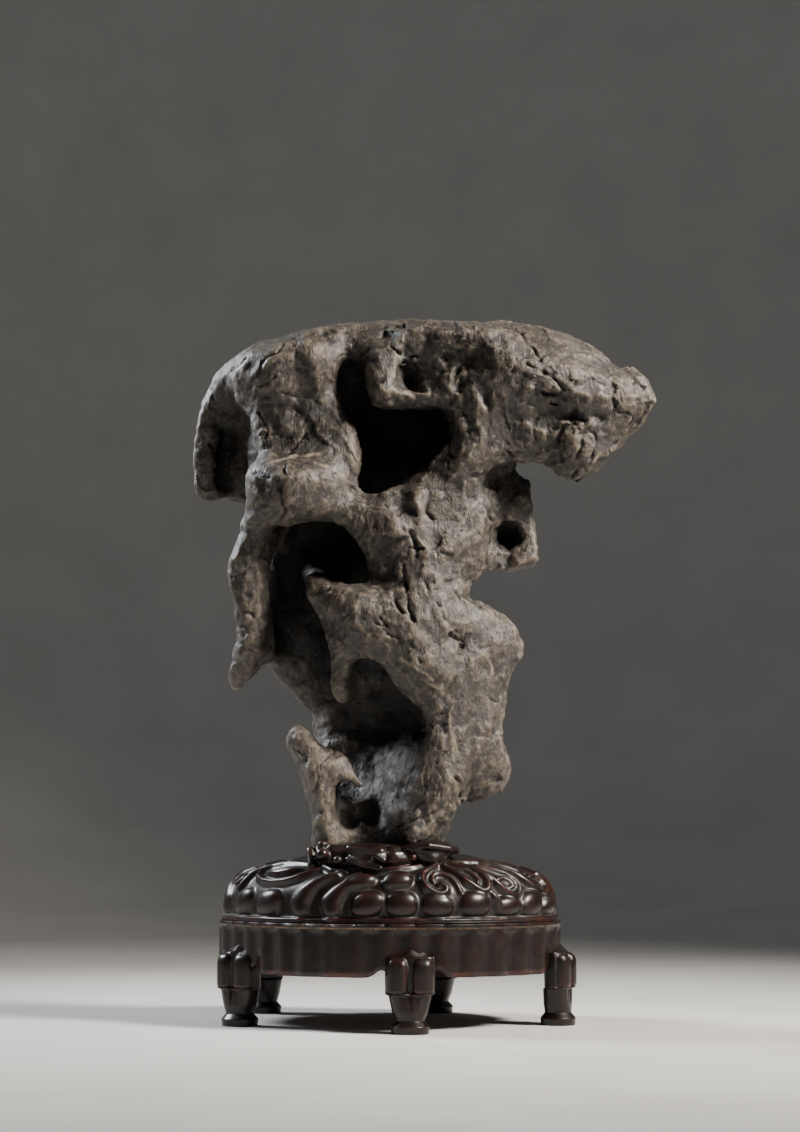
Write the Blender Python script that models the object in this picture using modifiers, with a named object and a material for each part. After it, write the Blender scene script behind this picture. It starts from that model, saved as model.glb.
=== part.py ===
"""A scholar's rock on its carved hardwood stand.

Metres, +Z up, and the front faces -Y. The stand rests on z = 0 and the model is centred over the origin.
Lengths in the constants and tables below are in millimetres, unless they are multiplied by MM.
"""

import math

import bmesh
import bpy
from mathutils import Vector

MM = 0.001
OBJECT_NAME = "scholars_rock"
GAP = 0.4                         # clearance between pieces that touch
LAYOUT_CENTRE = (12.8, 21.0)      # x and y of the layout below that the finished model is centred over

# ---------------------------------------------------------------- the rock
# The rock is laid out in its front view. A ball (x, z, depth, radius) shows at (x, z) on the upright
# plane y = 0 when it is looked at from the eye point, whatever its depth.
EYE_DISTANCE = 1470.0
EYE_HEIGHT = 111.0
ROCK_VOXEL = 3.6 * MM
ROCK_TRIANGLES = 5400
ROCK_FILLET = 7 * MM              # the creases between lumps are filled to about this radius
BROAD_LUMP, BROAD_RISE = 32 * MM, 7 * MM
SMALL_LUMP, SMALL_RISE = 12 * MM, 3 * MM

# Each lump is the convex hull of its balls.
LUMPS = {
    # canopy: the broad cap that the whole rock hangs from
    "canopy left": [(-121, 447, 20, 17), (-96, 462, -5, 19), (-60, 471, -18, 20), (-20, 477, -15, 20),
                    (-20, 450, 72, 26), (-75, 440, 76, 24), (-112, 428, 55, 18)],
    "canopy middle": [(-12, 477, -18, 20), (30, 475, -26, 20), (77, 473, -30, 19), (72, 446, 72, 28),
                      (0, 450, 82, 28)],
    "canopy right": [(84, 475, -20, 21), (105, 471, -22, 21), (130, 460, -18, 19), (146, 446, -16, 15),
                     (92, 440, 66, 26), (122, 432, 50, 20)],
    # torso on the left
    "shoulder": [(-105, 458, -22, 15), (-86, 466, -36, 15), (-88, 449, -38, 13), (-108, 441, -14, 11)],
    "shoulder bump": [(-64, 469, -38, 14), (-60, 456, -34, 14), (-66, 455, 0, 20)],
    "waist": [(-92, 425, -20, 16), (-72, 428, -24, 15), (-90, 408, -20, 16), (-88, 440, -10, 18)],
    "flank": [(-54, 428, -22, 18), (-43, 404, -28, 16), (-42, 388, -28, 15), (-64, 402, -20, 18)],
    "belly": [(-95, 378, -36, 17), (-76, 376, -46, 18), (-93, 361, -32, 15), (-60, 375, -42, 18),
              (-52, 361, -34, 13), (-78, 358, -38, 12)],
    "torso core": [(-95, 440, 20, 20), (-92, 375, 15, 18), (-55, 440, 30, 30), (-55, 375, 25, 26)],
    # thin flap behind the torso
    "flap top": [(-131, 446, 22, 9), (-138, 418, 28, 10), (-118, 435, 55, 14)],
    "flap foot": [(-138, 418, 28, 10), (-140, 392, 32, 9), (-137, 366, 34, 8), (-120, 395, 56, 12)],
    "flap root": [(-118, 430, 55, 14), (-114, 375, 52, 14), (-85, 400, 48, 20)],
    # lobe that hangs on the left
    "lobe neck": [(-103, 352, -20, 10), (-111, 318, -14, 13), (-92, 345, 10, 14)],
    "lobe middle": [(-111, 316, -14, 13), (-108, 298, -10, 12), (-104, 272, -4, 11), (-96, 290, 12, 12)],
    "lobe inner": [(-98, 290, 2, 8), (-94, 262, 10, 8), (-96, 300, 25, 14), (-90, 265, 30, 12)],
    "lobe foot": [(-104, 264, -2, 11), (-112, 242, 4, 10), (-115, 231, 8, 6), (-104, 250, 22, 10)],
    "left wall": [(-86, 345, 56, 18), (-88, 258, 54, 14), (-64, 232, 52, 15), (-45, 345, 56, 22)],
    # knob and roll in the middle of the canopy
    "knob": [(-13, 463, -44, 12), (-11, 444, -44, 13), (-2, 440, -40, 12), (0, 462, -20, 14)],
    "knob right": [(12, 440, -38, 10), (26, 440, -38, 10), (20, 452, -14, 18)],
    "knob ridge": [(34, 460, -44, 5), (37, 447, -46, 5), (30, 437, -42, 7), (40, 450, -20, 10)],
    "roll": [(6, 483, -40, 10), (40, 483, -46, 10), (72, 481, -46, 11), (60, 480, -10, 12)],
    # head on the right
    "brow": [(80, 450, -56, 8), (97, 457, -60, 8), (121, 452, -58, 8), (144, 446, -50, 8),
             (88, 478, -30, 16), (126, 465, -28, 14), (72, 470, -44, 12)],
    "temple": [(66, 462, -46, 12), (60, 446, -46, 12), (76, 440, -46, 10), (60, 450, -10, 18)],
    "neck": [(49, 434, -44, 12), (46, 412, -42, 10), (54, 400, -42, 12), (60, 420, -10, 18)],
    "under the brow": [(84, 437, -46, 11), (86, 425, -42, 11), (70, 432, -40, 12)],
    "nose root": [(134, 437, -47, 12), (146, 432, -44, 12), (136, 422, -42, 12)],
    "face": [(62, 430, -42, 14), (110, 428, -42, 13), (138, 428, -42, 13), (70, 401, -38, 12),
             (95, 402, -36, 13), (100, 425, 5, 16)],
    "jowl": [(124, 412, -44, 13), (125, 387, -34, 12), (139, 397, -32, 12), (152, 414, -36, 13),
             (120, 425, 0, 16)],
    "jaw corner": [(50, 393, -38, 12), (58, 398, -38, 12), (46, 390, -30, 9), (60, 405, 0, 14)],
    "nose": [(167, 450, -38, 12), (171, 440, -42, 13), (162, 424, -38, 13), (150, 440, -36, 14),
             (140, 430, 0, 16)],
    "head core": [(55, 430, 20, 22), (115, 432, 20, 22), (140, 436, 10, 18), (70, 455, 45, 28)],
    # hooked piece under the head
    "hook top": [(66, 362, -16, 8), (88, 363, -10, 7), (80, 372, 15, 14), (60, 372, 5, 14)],
    "hook limb": [(89, 360, -11, 7), (94, 330, -14, 7), (84, 352, -8, 6)],
    "hook jaw": [(94, 328, -13, 7), (93, 320, -12, 7), (67, 317, -12, 5), (80, 322, 6, 7)],
    "hook back": [(78, 340, 26, 14), (82, 360, 20, 12), (45, 340, 10, 20), (72, 326, 18, 9)],
    # middle of the rock
    "ridge": [(32, 387, -28, 12), (24, 372, -34, 12), (8, 370, -24, 10), (-12, 357, -28, 11),
              (10, 350, -32, 14)],
    "panel": [(40, 372, -24, 10), (50, 362, -24, 12), (50, 340, -24, 14), (47, 320, -24, 14),
              (34, 300, -24, 13), (28, 350, -30, 14)],
    "cheek boss": [(-29, 351, -34, 13), (-14, 353, -38, 13), (-2, 340, -38, 14), (-20, 340, -28, 12)],
    "cheek bump": [(-19, 329, -32, 9), (-16, 320, -28, 8), (0, 325, -24, 14)],
    "column top": [(5, 325, -36, 13), (10, 300, -38, 16), (28, 330, -32, 16), (30, 300, -30, 16)],
    # trunk and its diagonal arm
    "arm": [(-64, 304, -20, 8), (-48, 294, -38, 10), (-32, 284, -46, 11), (-10, 286, -46, 11),
            (6, 276, -42, 16), (-45, 285, -10, 14)],
    "arm root": [(-73, 316, -8, 6), (-62, 306, -16, 9), (-58, 310, 20, 14)],
    "trunk corner": [(-35, 280, -46, 8), (-41, 255, -38, 6), (-46, 278, -12, 10), (-42, 254, -10, 8)],
    "trunk face": [(-32, 275, -44, 9), (-12, 268, -44, 11), (8, 255, -42, 14), (12, 230, -38, 10),
                   (20, 280, -40, 16), (24, 225, -38, 12)],
    "jamb": [(-42, 250, -30, 5.5), (-42, 224, -28, 5), (-38, 250, 0, 10), (-36, 228, 0, 9)],
    "trunk core": [(-34, 262, 5, 16), (-20, 236, 8, 14), (20, 236, 0, 24), (20, 285, 0, 26)],
    # right flank
    "flank top": [(38, 280, -28, 16), (70, 273, -14, 11), (73, 262, -16, 13), (46, 250, -30, 16)],
    "lip": [(74, 275, -12, 10), (76, 250, -12, 10), (84, 251, -12, 5), (58, 262, -16, 14)],
    "flank waist": [(66, 242, -16, 14), (50, 216, -24, 16), (56, 198, -22, 13), (30, 232, -34, 14),
                    (30, 205, -34, 12)],
    "flank foot": [(57, 198, -22, 13), (66, 176, -18, 13), (64, 166, -16, 11), (50, 157, -14, 9),
                   (44, 185, -26, 12)],
    "column foot": [(30, 205, -36, 12), (26, 170, -38, 13), (22, 150, -36, 11), (33, 144, -30, 9),
                    (42, 180, -24, 12)],
    "tip": [(24, 143, -38, 9), (6, 136, -44, 6), (5, 123, -47, 4), (24, 134, -36, 7), (14, 130, -40, 6)],
    # stump on the lower left
    "stump head": [(-79, 193, -22, 5.5), (-70, 202, -24, 5), (-66, 186, -28, 8), (-60, 180, -12, 9)],
    "stump shin": [(-66, 184, -28, 7.5), (-58, 172, -32, 8), (-54, 150, -30, 8.5), (-58, 168, -4, 8)],
    "stump shank": [(-54, 152, -30, 8.5), (-50, 130, -28, 9), (-48, 112, -24, 10), (-46, 135, 10, 12)],
    "stump arch": [(-56, 180, -30, 6), (-44, 180, -30, 6), (-35, 173, -30, 5), (-44, 178, -14, 8)],
    "stump hook": [(-36, 174, -30, 5), (-28, 163, -30, 4.5), (-27, 154, -30, 3.5)],
    # spine and back, which close the hollows behind
    "spine top": [(-20, 425, 60, 30), (30, 420, 58, 30), (-30, 370, 56, 28), (30, 365, 46, 28)],
    "spine middle": [(-40, 340, 58, 24), (25, 340, 38, 28), (-20, 290, 54, 22), (20, 280, 32, 24)],
    "spine low": [(-30, 285, 54, 22), (20, 270, 30, 26), (-38, 225, 52, 20), (25, 215, 30, 24)],
    "base back": [(-46, 206, 50, 16), (15, 205, 40, 20), (-38, 140, 28, 18), (15, 140, 20, 20)],
    "base": [(-44, 140, 4, 13), (-20, 134, 20, 20), (18, 140, -12, 16), (-46, 112, -10, 10),
             (14, 112, -16, 12), (-14, 112, 26, 14)],
    # bosses on the back
    "back boss high": [(-58, 440, 88, 20), (-30, 425, 98, 16), (-50, 415, 80, 16)],
    "back boss right": [(60, 425, 88, 20), (88, 428, 76, 18), (45, 400, 82, 14)],
    "back rib": [(6, 400, 84, 12), (-8, 350, 80, 13), (4, 300, 72, 12), (0, 330, 60, 20)],
    "back shelf": [(-52, 300, 72, 13), (-20, 288, 76, 11), (-30, 268, 64, 14)],
    "back heel": [(-26, 190, 66, 13), (8, 178, 58, 14), (-12, 150, 52, 14)],
    "side wall": [(8, 185, -4, 12), (-4, 160, -14, 10), (0, 140, -20, 12), (22, 180, -24, 12),
                  (4, 170, 24, 14)],
}

# Each hollow is cut from the mass in the same way.
HOLLOWS = {
    "window": [(-8, 414, -60, 13), (16, 415, -60, 11), (-13, 386, -60, 9), (0, 392, -60, 10),
               (-6, 405, 24, 16), (10, 408, 20, 12)],
    "canopy recess": [(-38, 470, -52, 9), (-36, 440, -56, 12), (-36, 455, -4, 10)],
    "knob pocket": [(16, 460, -62, 9), (16, 447, -60, 9), (16, 452, -32, 8)],
    "roll groove": [(20, 467, -60, 4), (54, 467, -60, 4), (36, 467, -34, 5)],
    "flap gap": [(-121, 432, -10, 8), (-124, 405, -10, 9), (-127, 372, -10, 8), (-122, 410, 30, 7),
                 (-126, 375, 30, 7)],
    "arm hollow": [(-72, 337, -50, 8), (-40, 324, -56, 14), (-24, 306, -56, 8), (-66, 330, 20, 12),
                   (-40, 324, 20, 14)],
    "side hollow": [(-80, 328, -50, 12), (-76, 276, -50, 15), (-72, 240, -50, 14), (-80, 318, 26, 14),
                    (-72, 242, 26, 14)],
    "trunk recess": [(-30, 250, -60, 6), (-34, 228, -60, 6), (-4, 228, -60, 7), (-28, 236, -16, 8)],
    "cave": [(-46, 203, -60, 10), (4, 203, -60, 10), (-52, 204, 24, 10), (-4, 203, 20, 11)],
    "cave foot": [(-8, 190, -60, 11), (-14, 160, -60, 8), (-14, 140, -60, 7), (-16, 185, 4, 8),
                  (-18, 142, -6, 6)],
    "stump pocket": [(-38, 162, -60, 8), (-38, 138, -60, 8), (-38, 160, -14, 7), (-36, 138, -12, 7)],
    "hook hole": [(76, 350, -40, 6), (75, 331, -40, 8), (85, 330, -40, 6), (75, 340, 8, 8)],
    "shoulder pocket": [(-95, 442, -50, 4), (-90, 441, -50, 4), (-93, 442, -32, 4)],
    "waist shade": [(-94, 418, -50, 5), (-72, 416, -54, 5), (-80, 426, -54, 5)],
    "brow shade": [(103, 438, -70, 4), (118, 438, -70, 4), (110, 437, -50, 4)],
    "foot pocket": [(49, 158, -44, 5), (49, 150, -44, 5), (48, 155, -22, 4)],
    "flank slot": [(43, 266, -60, 3.5), (44, 257, -60, 3), (43, 262, -36, 4)],
}

# ---------------------------------------------------------------- the stand
STAND_CENTRE = (-10.0, 26.0)
# Plan of the stand: the radius of the apron at some angles around its centre, in degrees from +X.
PLAN = [(-81, 106), (-46, 113), (-12, 122), (28, 115), (68, 98), (102, 108), (136, 126), (164, 121),
        (182, 115), (200, 106), (240, 102)]
# Where each leg stands around the centre, and the way its front faces, both in degrees from +X.
LEGS = {
    "leg_front": (-81, -90),
    "leg_right": (-13, -20),
    "leg_back_right": (68, 72),
    "leg_back_left": (136, 136),
    "leg_left": (200, 232),
}
LOBES = 34                        # bosses around the rim, and flutes on the apron below them
STEPS_PER_LOBE = 3

LEG_HEIGHT = 54.5
LEG_INSET = 0.5                   # from the apron's outline to the middle of a leg
HEAD_BOTTOM = 25.5
APRON_BOTTOM = 35.5
APRON_TOP = 70.0
APRON_WALL = 11.0
APRON_SWELL = 0.6                 # how far the apron's crowns stand out of its outline
FLUTE_DEPTH = 2.2
RIM_HEIGHT = 6.0                  # the flutes fade out over this height below the top
ARCH_RISE = 5.0                   # the apron's bottom edge rises beside each leg
ARCH_PLACE = 18.5                 # from the middle of a leg, along the outline
ARCH_WIDTH = 5.5
DOME_BOTTOM = APRON_TOP + GAP
DOME_TOP = 119.0
DOME_INSET = 1.5                  # from the apron's outline to the dome's
DOME_POWER = 3.3                  # 2 would be an ellipse, and more is squarer at the shoulder
DOME_RISES = (0, 8, 22, 38, 56, 74)  # the dome's sections, as degrees from its rim up to its crown
BOSS_DEPTH = 3.2

# Sections of a leg from the floor up: height, half width, half depth, squareness and shift to the front.
LEG_SECTIONS = [(0.0, 12.3, 11.6, 2.1, 0.0), (4.8, 12.8, 12.0, 2.1, 0.0), (8.4, 9.4, 9.0, 2.1, 0.0),
                (14.0, 11.8, 9.4, 2.3, 0.0), (HEAD_BOTTOM - 1.2, 14.0, 9.0, 2.8, 0.0),
                (HEAD_BOTTOM, 16.2, 9.2, 3.4, 2.0), (44.0, 16.4, 9.4, 3.4, 2.0),
                (LEG_HEIGHT - 3.5, 15.0, 8.2, 3.0, 1.6), (LEG_HEIGHT, 10.5, 5.4, 2.4, 0.0)]
LEG_SIDES = 12
SHARP_ANGLE = 40                  # edges sharper than this, in degrees, stay crisp

# Lumps of the collar that holds the foot of the rock.
COLLAR = {
    "ring": [(-52, 112, -28, 12), (-46, 112, 12, 12), (-14, 112, 48, 12), (22, 112, 20, 12),
             (24, 112, -26, 11), (-6, 112, -44, 10)],
    "bead": [(-52, 121, -34, 6.5), (-50, 114, -40, 8), (-46, 120, -20, 6)],
    "leaf": [(-34, 119, -48, 4), (-14, 117, -56, 4), (-24, 110, -54, 6)],
    "lip": [(10, 119, -46, 5.5), (30, 119, -38, 5.5), (32, 119, -10, 5.5), (20, 112, -42, 8)],
}
COLLAR_VOXEL = 2.4 * MM
COLLAR_TRIANGLES = 560
SOCKET_GAP = 0.8 * MM

ROCK_COLOUR, ROCK_ROUGHNESS = (0.085, 0.075, 0.065), 0.6
WOOD_COLOUR, WOOD_ROUGHNESS = (0.022, 0.009, 0.006), 0.3


def seen(x, z, depth):
    """The point at a depth that shows at (x, z) on the plane y = 0 from the eye point."""
    stretch = (EYE_DISTANCE + depth) / EYE_DISTANCE
    return Vector((x * stretch, depth, EYE_HEIGHT + (z - EYE_HEIGHT) * stretch)) * MM


def material(name, colour, roughness):
    """A plain surface of one colour."""
    surface = bpy.data.materials.new(name)
    surface.use_nodes = True
    shader = surface.node_tree.nodes["Principled BSDF"]
    shader.inputs["Base Color"].default_value = (*colour, 1.0)
    shader.inputs["Roughness"].default_value = roughness
    shader.inputs["Metallic"].default_value = 0.0
    return surface


def hull_of(balls):
    """A closed mesh around the balls of one lump."""
    hull = bmesh.new()
    for x, z, depth, radius in balls:
        ball = bmesh.new()
        bmesh.ops.create_icosphere(ball, subdivisions=2, radius=radius * MM)
        centre = seen(x, z, depth)
        for vert in ball.verts:
            hull.verts.new(vert.co + centre)
        ball.free()
    result = bmesh.ops.convex_hull(hull, input=hull.verts)
    spare = {v for v in result["geom_interior"] + result["geom_unused"] if isinstance(v, bmesh.types.BMVert)}
    bmesh.ops.delete(hull, geom=list(spare), context="VERTS")
    return hull


def mass_of(name, groups, voxel, collection):
    """One object that holds the hulls of all the groups, joined by a fine remesh."""
    mass = bmesh.new()
    for balls in groups.values():
        hull = hull_of(balls)
        piece = bpy.data.meshes.new(name)
        hull.to_mesh(piece)
        hull.free()
        mass.from_mesh(piece)
        bpy.data.meshes.remove(piece)
    mesh = bpy.data.meshes.new(name)
    mass.to_mesh(mesh)
    mass.free()
    obj = bpy.data.objects.new(name, mesh)
    collection.objects.link(obj)
    remesh(obj, "join the hulls", voxel)
    return obj


def remesh(obj, label, voxel):
    """Gives the object one even skin."""
    modifier = obj.modifiers.new(label, "REMESH")
    modifier.mode = "VOXEL"
    modifier.voxel_size = voxel


def boolean(obj, label, operation, other):
    """Adds the other solid to the object, or takes it away."""
    modifier = obj.modifiers.new(label, "BOOLEAN")
    modifier.operation = operation
    modifier.object = other


def fill_creases(obj, radius, voxel):
    """Rounds the inside corners: swells the object, joins it again, and shrinks it back."""
    for label, strength in (("swell", radius), ("shrink", -radius)):
        swell = obj.modifiers.new(label, "DISPLACE")
        swell.mid_level = 0.0
        swell.strength = strength
        remesh(obj, f"join after {label}", voxel)


def roughen(obj, label, size, strength):
    """Raises and lowers the surface with soft noise of one size."""
    texture = bpy.data.textures.new(f"{obj.name} {label}", "CLOUDS")
    texture.noise_scale = size
    texture.noise_depth = 2
    modifier = obj.modifiers.new(label, "DISPLACE")
    modifier.texture = texture
    modifier.texture_coords = "LOCAL"
    modifier.strength = strength
    modifier.mid_level = 0.5


def settle(obj, target):
    """Smooths the object a little and brings it down to a number of triangles."""
    smooth = obj.modifiers.new("soften", "SMOOTH")
    smooth.factor = 0.5
    smooth.iterations = 2
    bpy.context.view_layer.update()
    count = len(obj.evaluated_get(bpy.context.evaluated_depsgraph_get()).data.loop_triangles)
    reduce = obj.modifiers.new("fewer faces", "DECIMATE")
    reduce.ratio = target / count
    reduce.use_collapse_triangulate = True


def make_guide(obj):
    """Hides a solid that only cuts or joins another."""
    obj.hide_render = True
    obj.display_type = "WIRE"


def make_rock(parts, cutters):
    """The stone: one mass of lumps with its hollows cut in."""
    rock = mass_of("rock", LUMPS, ROCK_VOXEL, parts)
    fill_creases(rock, ROCK_FILLET, ROCK_VOXEL)
    hollows = mass_of("rock_hollows", HOLLOWS, ROCK_VOXEL, cutters)
    make_guide(hollows)
    boolean(rock, "hollows", "DIFFERENCE", hollows)
    remesh(rock, "even surface", ROCK_VOXEL)
    roughen(rock, "broad lumps", BROAD_LUMP, BROAD_RISE)
    roughen(rock, "small lumps", SMALL_LUMP, SMALL_RISE)
    settle(rock, ROCK_TRIANGLES)
    rock.data.materials.append(material("rock", ROCK_COLOUR, ROCK_ROUGHNESS))
    return rock


def plan_radius(angle):
    """Radius of the stand's plan at an angle in degrees, on a smooth closed curve through PLAN."""
    knots = [(a - 360, r) for a, r in PLAN] + PLAN + [(a + 360, r) for a, r in PLAN]
    first = PLAN[0][0]
    angle = (angle - first) % 360 + first
    after = next(i for i, (a, _) in enumerate(knots) if a > angle)
    (a0, r0), (a1, r1), (a2, r2), (a3, r3) = knots[after - 2:after + 2]
    t = (angle - a1) / (a2 - a1)
    slope1 = (r2 - r0) / (a2 - a0) * (a2 - a1)
    slope2 = (r3 - r1) / (a3 - a1) * (a2 - a1)
    return ((2 * t**3 - 3 * t**2 + 1) * r1 + (t**3 - 2 * t**2 + t) * slope1
            + (3 * t**2 - 2 * t**3) * r2 + (t**3 - t**2) * slope2)


def stand_point(angle, radius, height):
    """A point of the stand from its centre, an angle in degrees and a radius."""
    turn = math.radians(angle)
    x = STAND_CENTRE[0] + radius * math.cos(turn)
    y = STAND_CENTRE[1] + radius * math.sin(turn)
    return Vector((x, y, height)) * MM


def lobe(angle):
    """0 in the groove between two lobes and 1 on the crown of one."""
    return abs(math.sin(math.radians(angle) * LOBES / 2))


def loft(name, sections, collection, ring=False):
    """A closed skin over a row of sections with equal numbers of points, capped, or closed into a ring."""
    body = bmesh.new()
    rows = [[body.verts.new(point) for point in section] for section in sections]
    pairs = list(zip(rows, rows[1:]))
    if ring:
        pairs.append((rows[-1], rows[0]))
    else:
        body.faces.new(list(reversed(rows[0])))
        body.faces.new(rows[-1])
    for low, high in pairs:
        for i in range(len(low)):
            j = (i + 1) % len(low)
            body.faces.new((low[i], low[j], high[j], high[i]))
    bmesh.ops.recalc_face_normals(body, faces=body.faces)
    mesh = bpy.data.meshes.new(name)
    body.to_mesh(mesh)
    body.free()
    mesh.shade_smooth()
    mesh.set_sharp_from_angle(angle=math.radians(SHARP_ANGLE))
    obj = bpy.data.objects.new(name, mesh)
    collection.objects.link(obj)
    return obj


def stand_angles():
    """The angles at which the stand's sections have points."""
    count = LOBES * STEPS_PER_LOBE
    return [360 * i / count for i in range(count)]


def make_top(parts, cutters, rock):
    """The dome with its row of bosses, and the collar with the socket for the rock."""
    sections = []
    for rise in DOME_RISES:
        inward = math.cos(math.radians(rise)) ** (2 / DOME_POWER)
        upward = math.sin(math.radians(rise)) ** (2 / DOME_POWER)
        height = DOME_BOTTOM + (DOME_TOP - DOME_BOTTOM) * upward
        swell = BOSS_DEPTH * math.cos(math.radians(rise)) ** 2
        sections.append([
            stand_point(a, (plan_radius(a) - DOME_INSET) * inward + swell * (lobe(a) - 1), height)
            for a in stand_angles()])
    top = loft("stand_top", sections, parts)
    collar = mass_of("collar", COLLAR, COLLAR_VOXEL, cutters)
    settle(collar, COLLAR_TRIANGLES)
    make_guide(collar)
    boolean(top, "collar", "UNION", collar)
    bpy.context.view_layer.update()
    stone = rock.evaluated_get(bpy.context.evaluated_depsgraph_get())
    socket = bpy.data.objects.new("socket", bpy.data.meshes.new_from_object(stone))
    cutters.objects.link(socket)
    grow = socket.modifiers.new("clearance", "DISPLACE")
    grow.mid_level = 0.0
    grow.strength = SOCKET_GAP
    make_guide(socket)
    boolean(top, "socket", "DIFFERENCE", socket)
    top.data.materials.append(material("stand_top", WOOD_COLOUR, WOOD_ROUGHNESS))


def make_apron(parts):
    """The fluted ring that the dome sits on, with a small arch in its bottom edge beside each leg."""
    def bottom(angle):
        near = min(abs((angle - leg + 180) % 360 - 180) for leg, _ in LEGS.values())
        away = math.radians(near) * plan_radius(angle) - ARCH_PLACE
        return APRON_BOTTOM + ARCH_RISE * math.exp(-(away / ARCH_WIDTH) ** 2)

    def ring(offset, height, flute):
        return [stand_point(a, plan_radius(a) + offset + flute * (lobe(a) - 1), height or bottom(a))
                for a in stand_angles()]

    sections = [ring(-APRON_WALL, None, 0), ring(APRON_SWELL, None, FLUTE_DEPTH),
                ring(APRON_SWELL, APRON_TOP - RIM_HEIGHT, FLUTE_DEPTH), ring(0, APRON_TOP, APRON_SWELL),
                ring(-APRON_WALL, APRON_TOP, 0)]
    return loft("stand_apron", sections, parts, ring=True)


def leg_sections(grow):
    """The outline of each section of a leg, grown by a clearance in millimetres."""
    sections = []
    for height, half_width, half_depth, power, shift in LEG_SECTIONS:
        section = []
        for i in range(LEG_SIDES):
            turn = 2 * math.pi * (i + 0.5) / LEG_SIDES
            c, s = math.cos(turn), math.sin(turn)
            x = math.copysign(abs(c) ** (2 / power), c) * (half_width + grow)
            y = math.copysign(abs(s) ** (2 / power), s) * (half_depth + grow)
            section.append(Vector((x, y - shift, height)) * MM)
        sections.append(section)
    return sections


def make_leg(name, stance, facing, parts, cutters, apron):
    """A leg with a square head, a cup and a pad foot, let into the apron."""
    radius = plan_radius(stance) - LEG_INSET
    leg = loft(name, leg_sections(0), parts)
    leg.data.materials.append(material(name, WOOD_COLOUR, WOOD_ROUGHNESS))
    notch = loft(f"{name}_notch", leg_sections(GAP), cutters)
    notch.scale.z = (LEG_HEIGHT + GAP) / LEG_HEIGHT
    make_guide(notch)
    for obj in (leg, notch):
        obj.location = stand_point(stance, radius, 0)
        obj.rotation_euler.z = math.radians(facing + 90)
    boolean(apron, f"notch for {name}", "DIFFERENCE", notch)


def main():
    for old in list(bpy.data.objects):
        bpy.data.objects.remove(old)
    parts = bpy.data.collections.new(OBJECT_NAME)
    cutters = bpy.data.collections.new("cutters")
    for collection in (parts, cutters):
        bpy.context.scene.collection.children.link(collection)
    rock = make_rock(parts, cutters)
    apron = make_apron(parts)
    apron.data.materials.append(material("stand_apron", WOOD_COLOUR, WOOD_ROUGHNESS))
    make_top(parts, cutters, rock)
    for name, (stance, facing) in LEGS.items():
        make_leg(name, stance, facing, parts, cutters, apron)
    base = bpy.data.objects.new("base", None)
    for obj in list(parts.objects) + list(cutters.objects):
        obj.parent = base
    parts.objects.link(base)
    base.location = (-LAYOUT_CENTRE[0] * MM, -LAYOUT_CENTRE[1] * MM, 0.0)


main()
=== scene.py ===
"""The looks of a scholar's rock on its carved hardwood stand.

Lengths are in millimetres unless they are multiplied by MM. The stone is laid out in its front view: a
place (x, z) is where a point shows on the upright plane y = 0 from the eye point, whatever its depth.
The whole model is laid out around that plane and moved at the end, so that it stands over the origin.
"""

import itertools
import math

import bmesh
import bpy
import numpy as np
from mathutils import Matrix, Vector
from mathutils.bvhtree import BVHTree
from mathutils.kdtree import KDTree


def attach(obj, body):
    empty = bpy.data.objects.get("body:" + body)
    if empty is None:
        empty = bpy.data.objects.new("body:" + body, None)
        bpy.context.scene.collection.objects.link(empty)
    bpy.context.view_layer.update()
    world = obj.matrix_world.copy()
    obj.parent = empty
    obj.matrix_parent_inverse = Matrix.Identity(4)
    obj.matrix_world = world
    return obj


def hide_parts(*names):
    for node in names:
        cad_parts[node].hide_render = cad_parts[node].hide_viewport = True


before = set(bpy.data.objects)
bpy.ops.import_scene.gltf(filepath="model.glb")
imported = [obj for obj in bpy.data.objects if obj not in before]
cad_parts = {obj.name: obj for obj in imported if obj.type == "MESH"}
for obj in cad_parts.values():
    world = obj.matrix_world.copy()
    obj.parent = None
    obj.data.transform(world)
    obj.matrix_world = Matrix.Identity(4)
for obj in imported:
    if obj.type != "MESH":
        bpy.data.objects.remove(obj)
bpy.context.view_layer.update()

MM = 0.001
LAYOUT_CENTRE = (12.8, 21.0)      # x and y of the layout that the finished model is centred over

TINY = 1e-6                       # keeps a division from dividing by nothing

# ---------------------------------------------------------------- the eye
EYE_DISTANCE = 1470.0             # in front of the plane y = 0
EYE_HEIGHT = 111.0
EYE_PITCH = 8.0                   # degrees that the eye looks upwards
EYE_POINT = np.array([0.0, -EYE_DISTANCE, EYE_HEIGHT])
EYE_SLACK = 1.5                   # a point this little behind another still counts as seen
EYE_BLUR = 3                      # rounds of blur between what the eye sees and what it doesn't

# ---------------------------------------------------------------- noise
NOISE_PRIMES = np.array([73856093, 19349663, 83492791])
NOISE_FACTORS = ((15, 2246822519), (13, 3266489917))  # shifts and factors that mix a cell's number up
NOISE_LAST_SHIFT = 16
NOISE_MASK = 0xFFFFFFFF
NOISE_STEP = 37.17                # keeps two seeds' noise apart

# ---------------------------------------------------------------- the rock
MASS_VOXEL = 3.6 * MM             # size of the rough mass's skin
ROCK_VOXEL = 1.05 * MM            # size of the detailed surface's skin
ROCK_FILLET = 7 * MM              # the creases between lumps are filled to about this radius
ROCK_SOFTENING = 4                # rounds of smoothing, before and after the lumps
SOFT_LUMPS = [(32 * MM, 7 * MM), (12 * MM, 3 * MM)]  # size and rise
ROCK_TRIANGLES = 196000
FRONT_WEIGHT, FRONT_FACTOR = 0.85, 2e-5  # how much more the front of the stone keeps its triangles
WEIGHT_STEPS = 16                 # a vertex group holds its weights in this many steps

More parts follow.
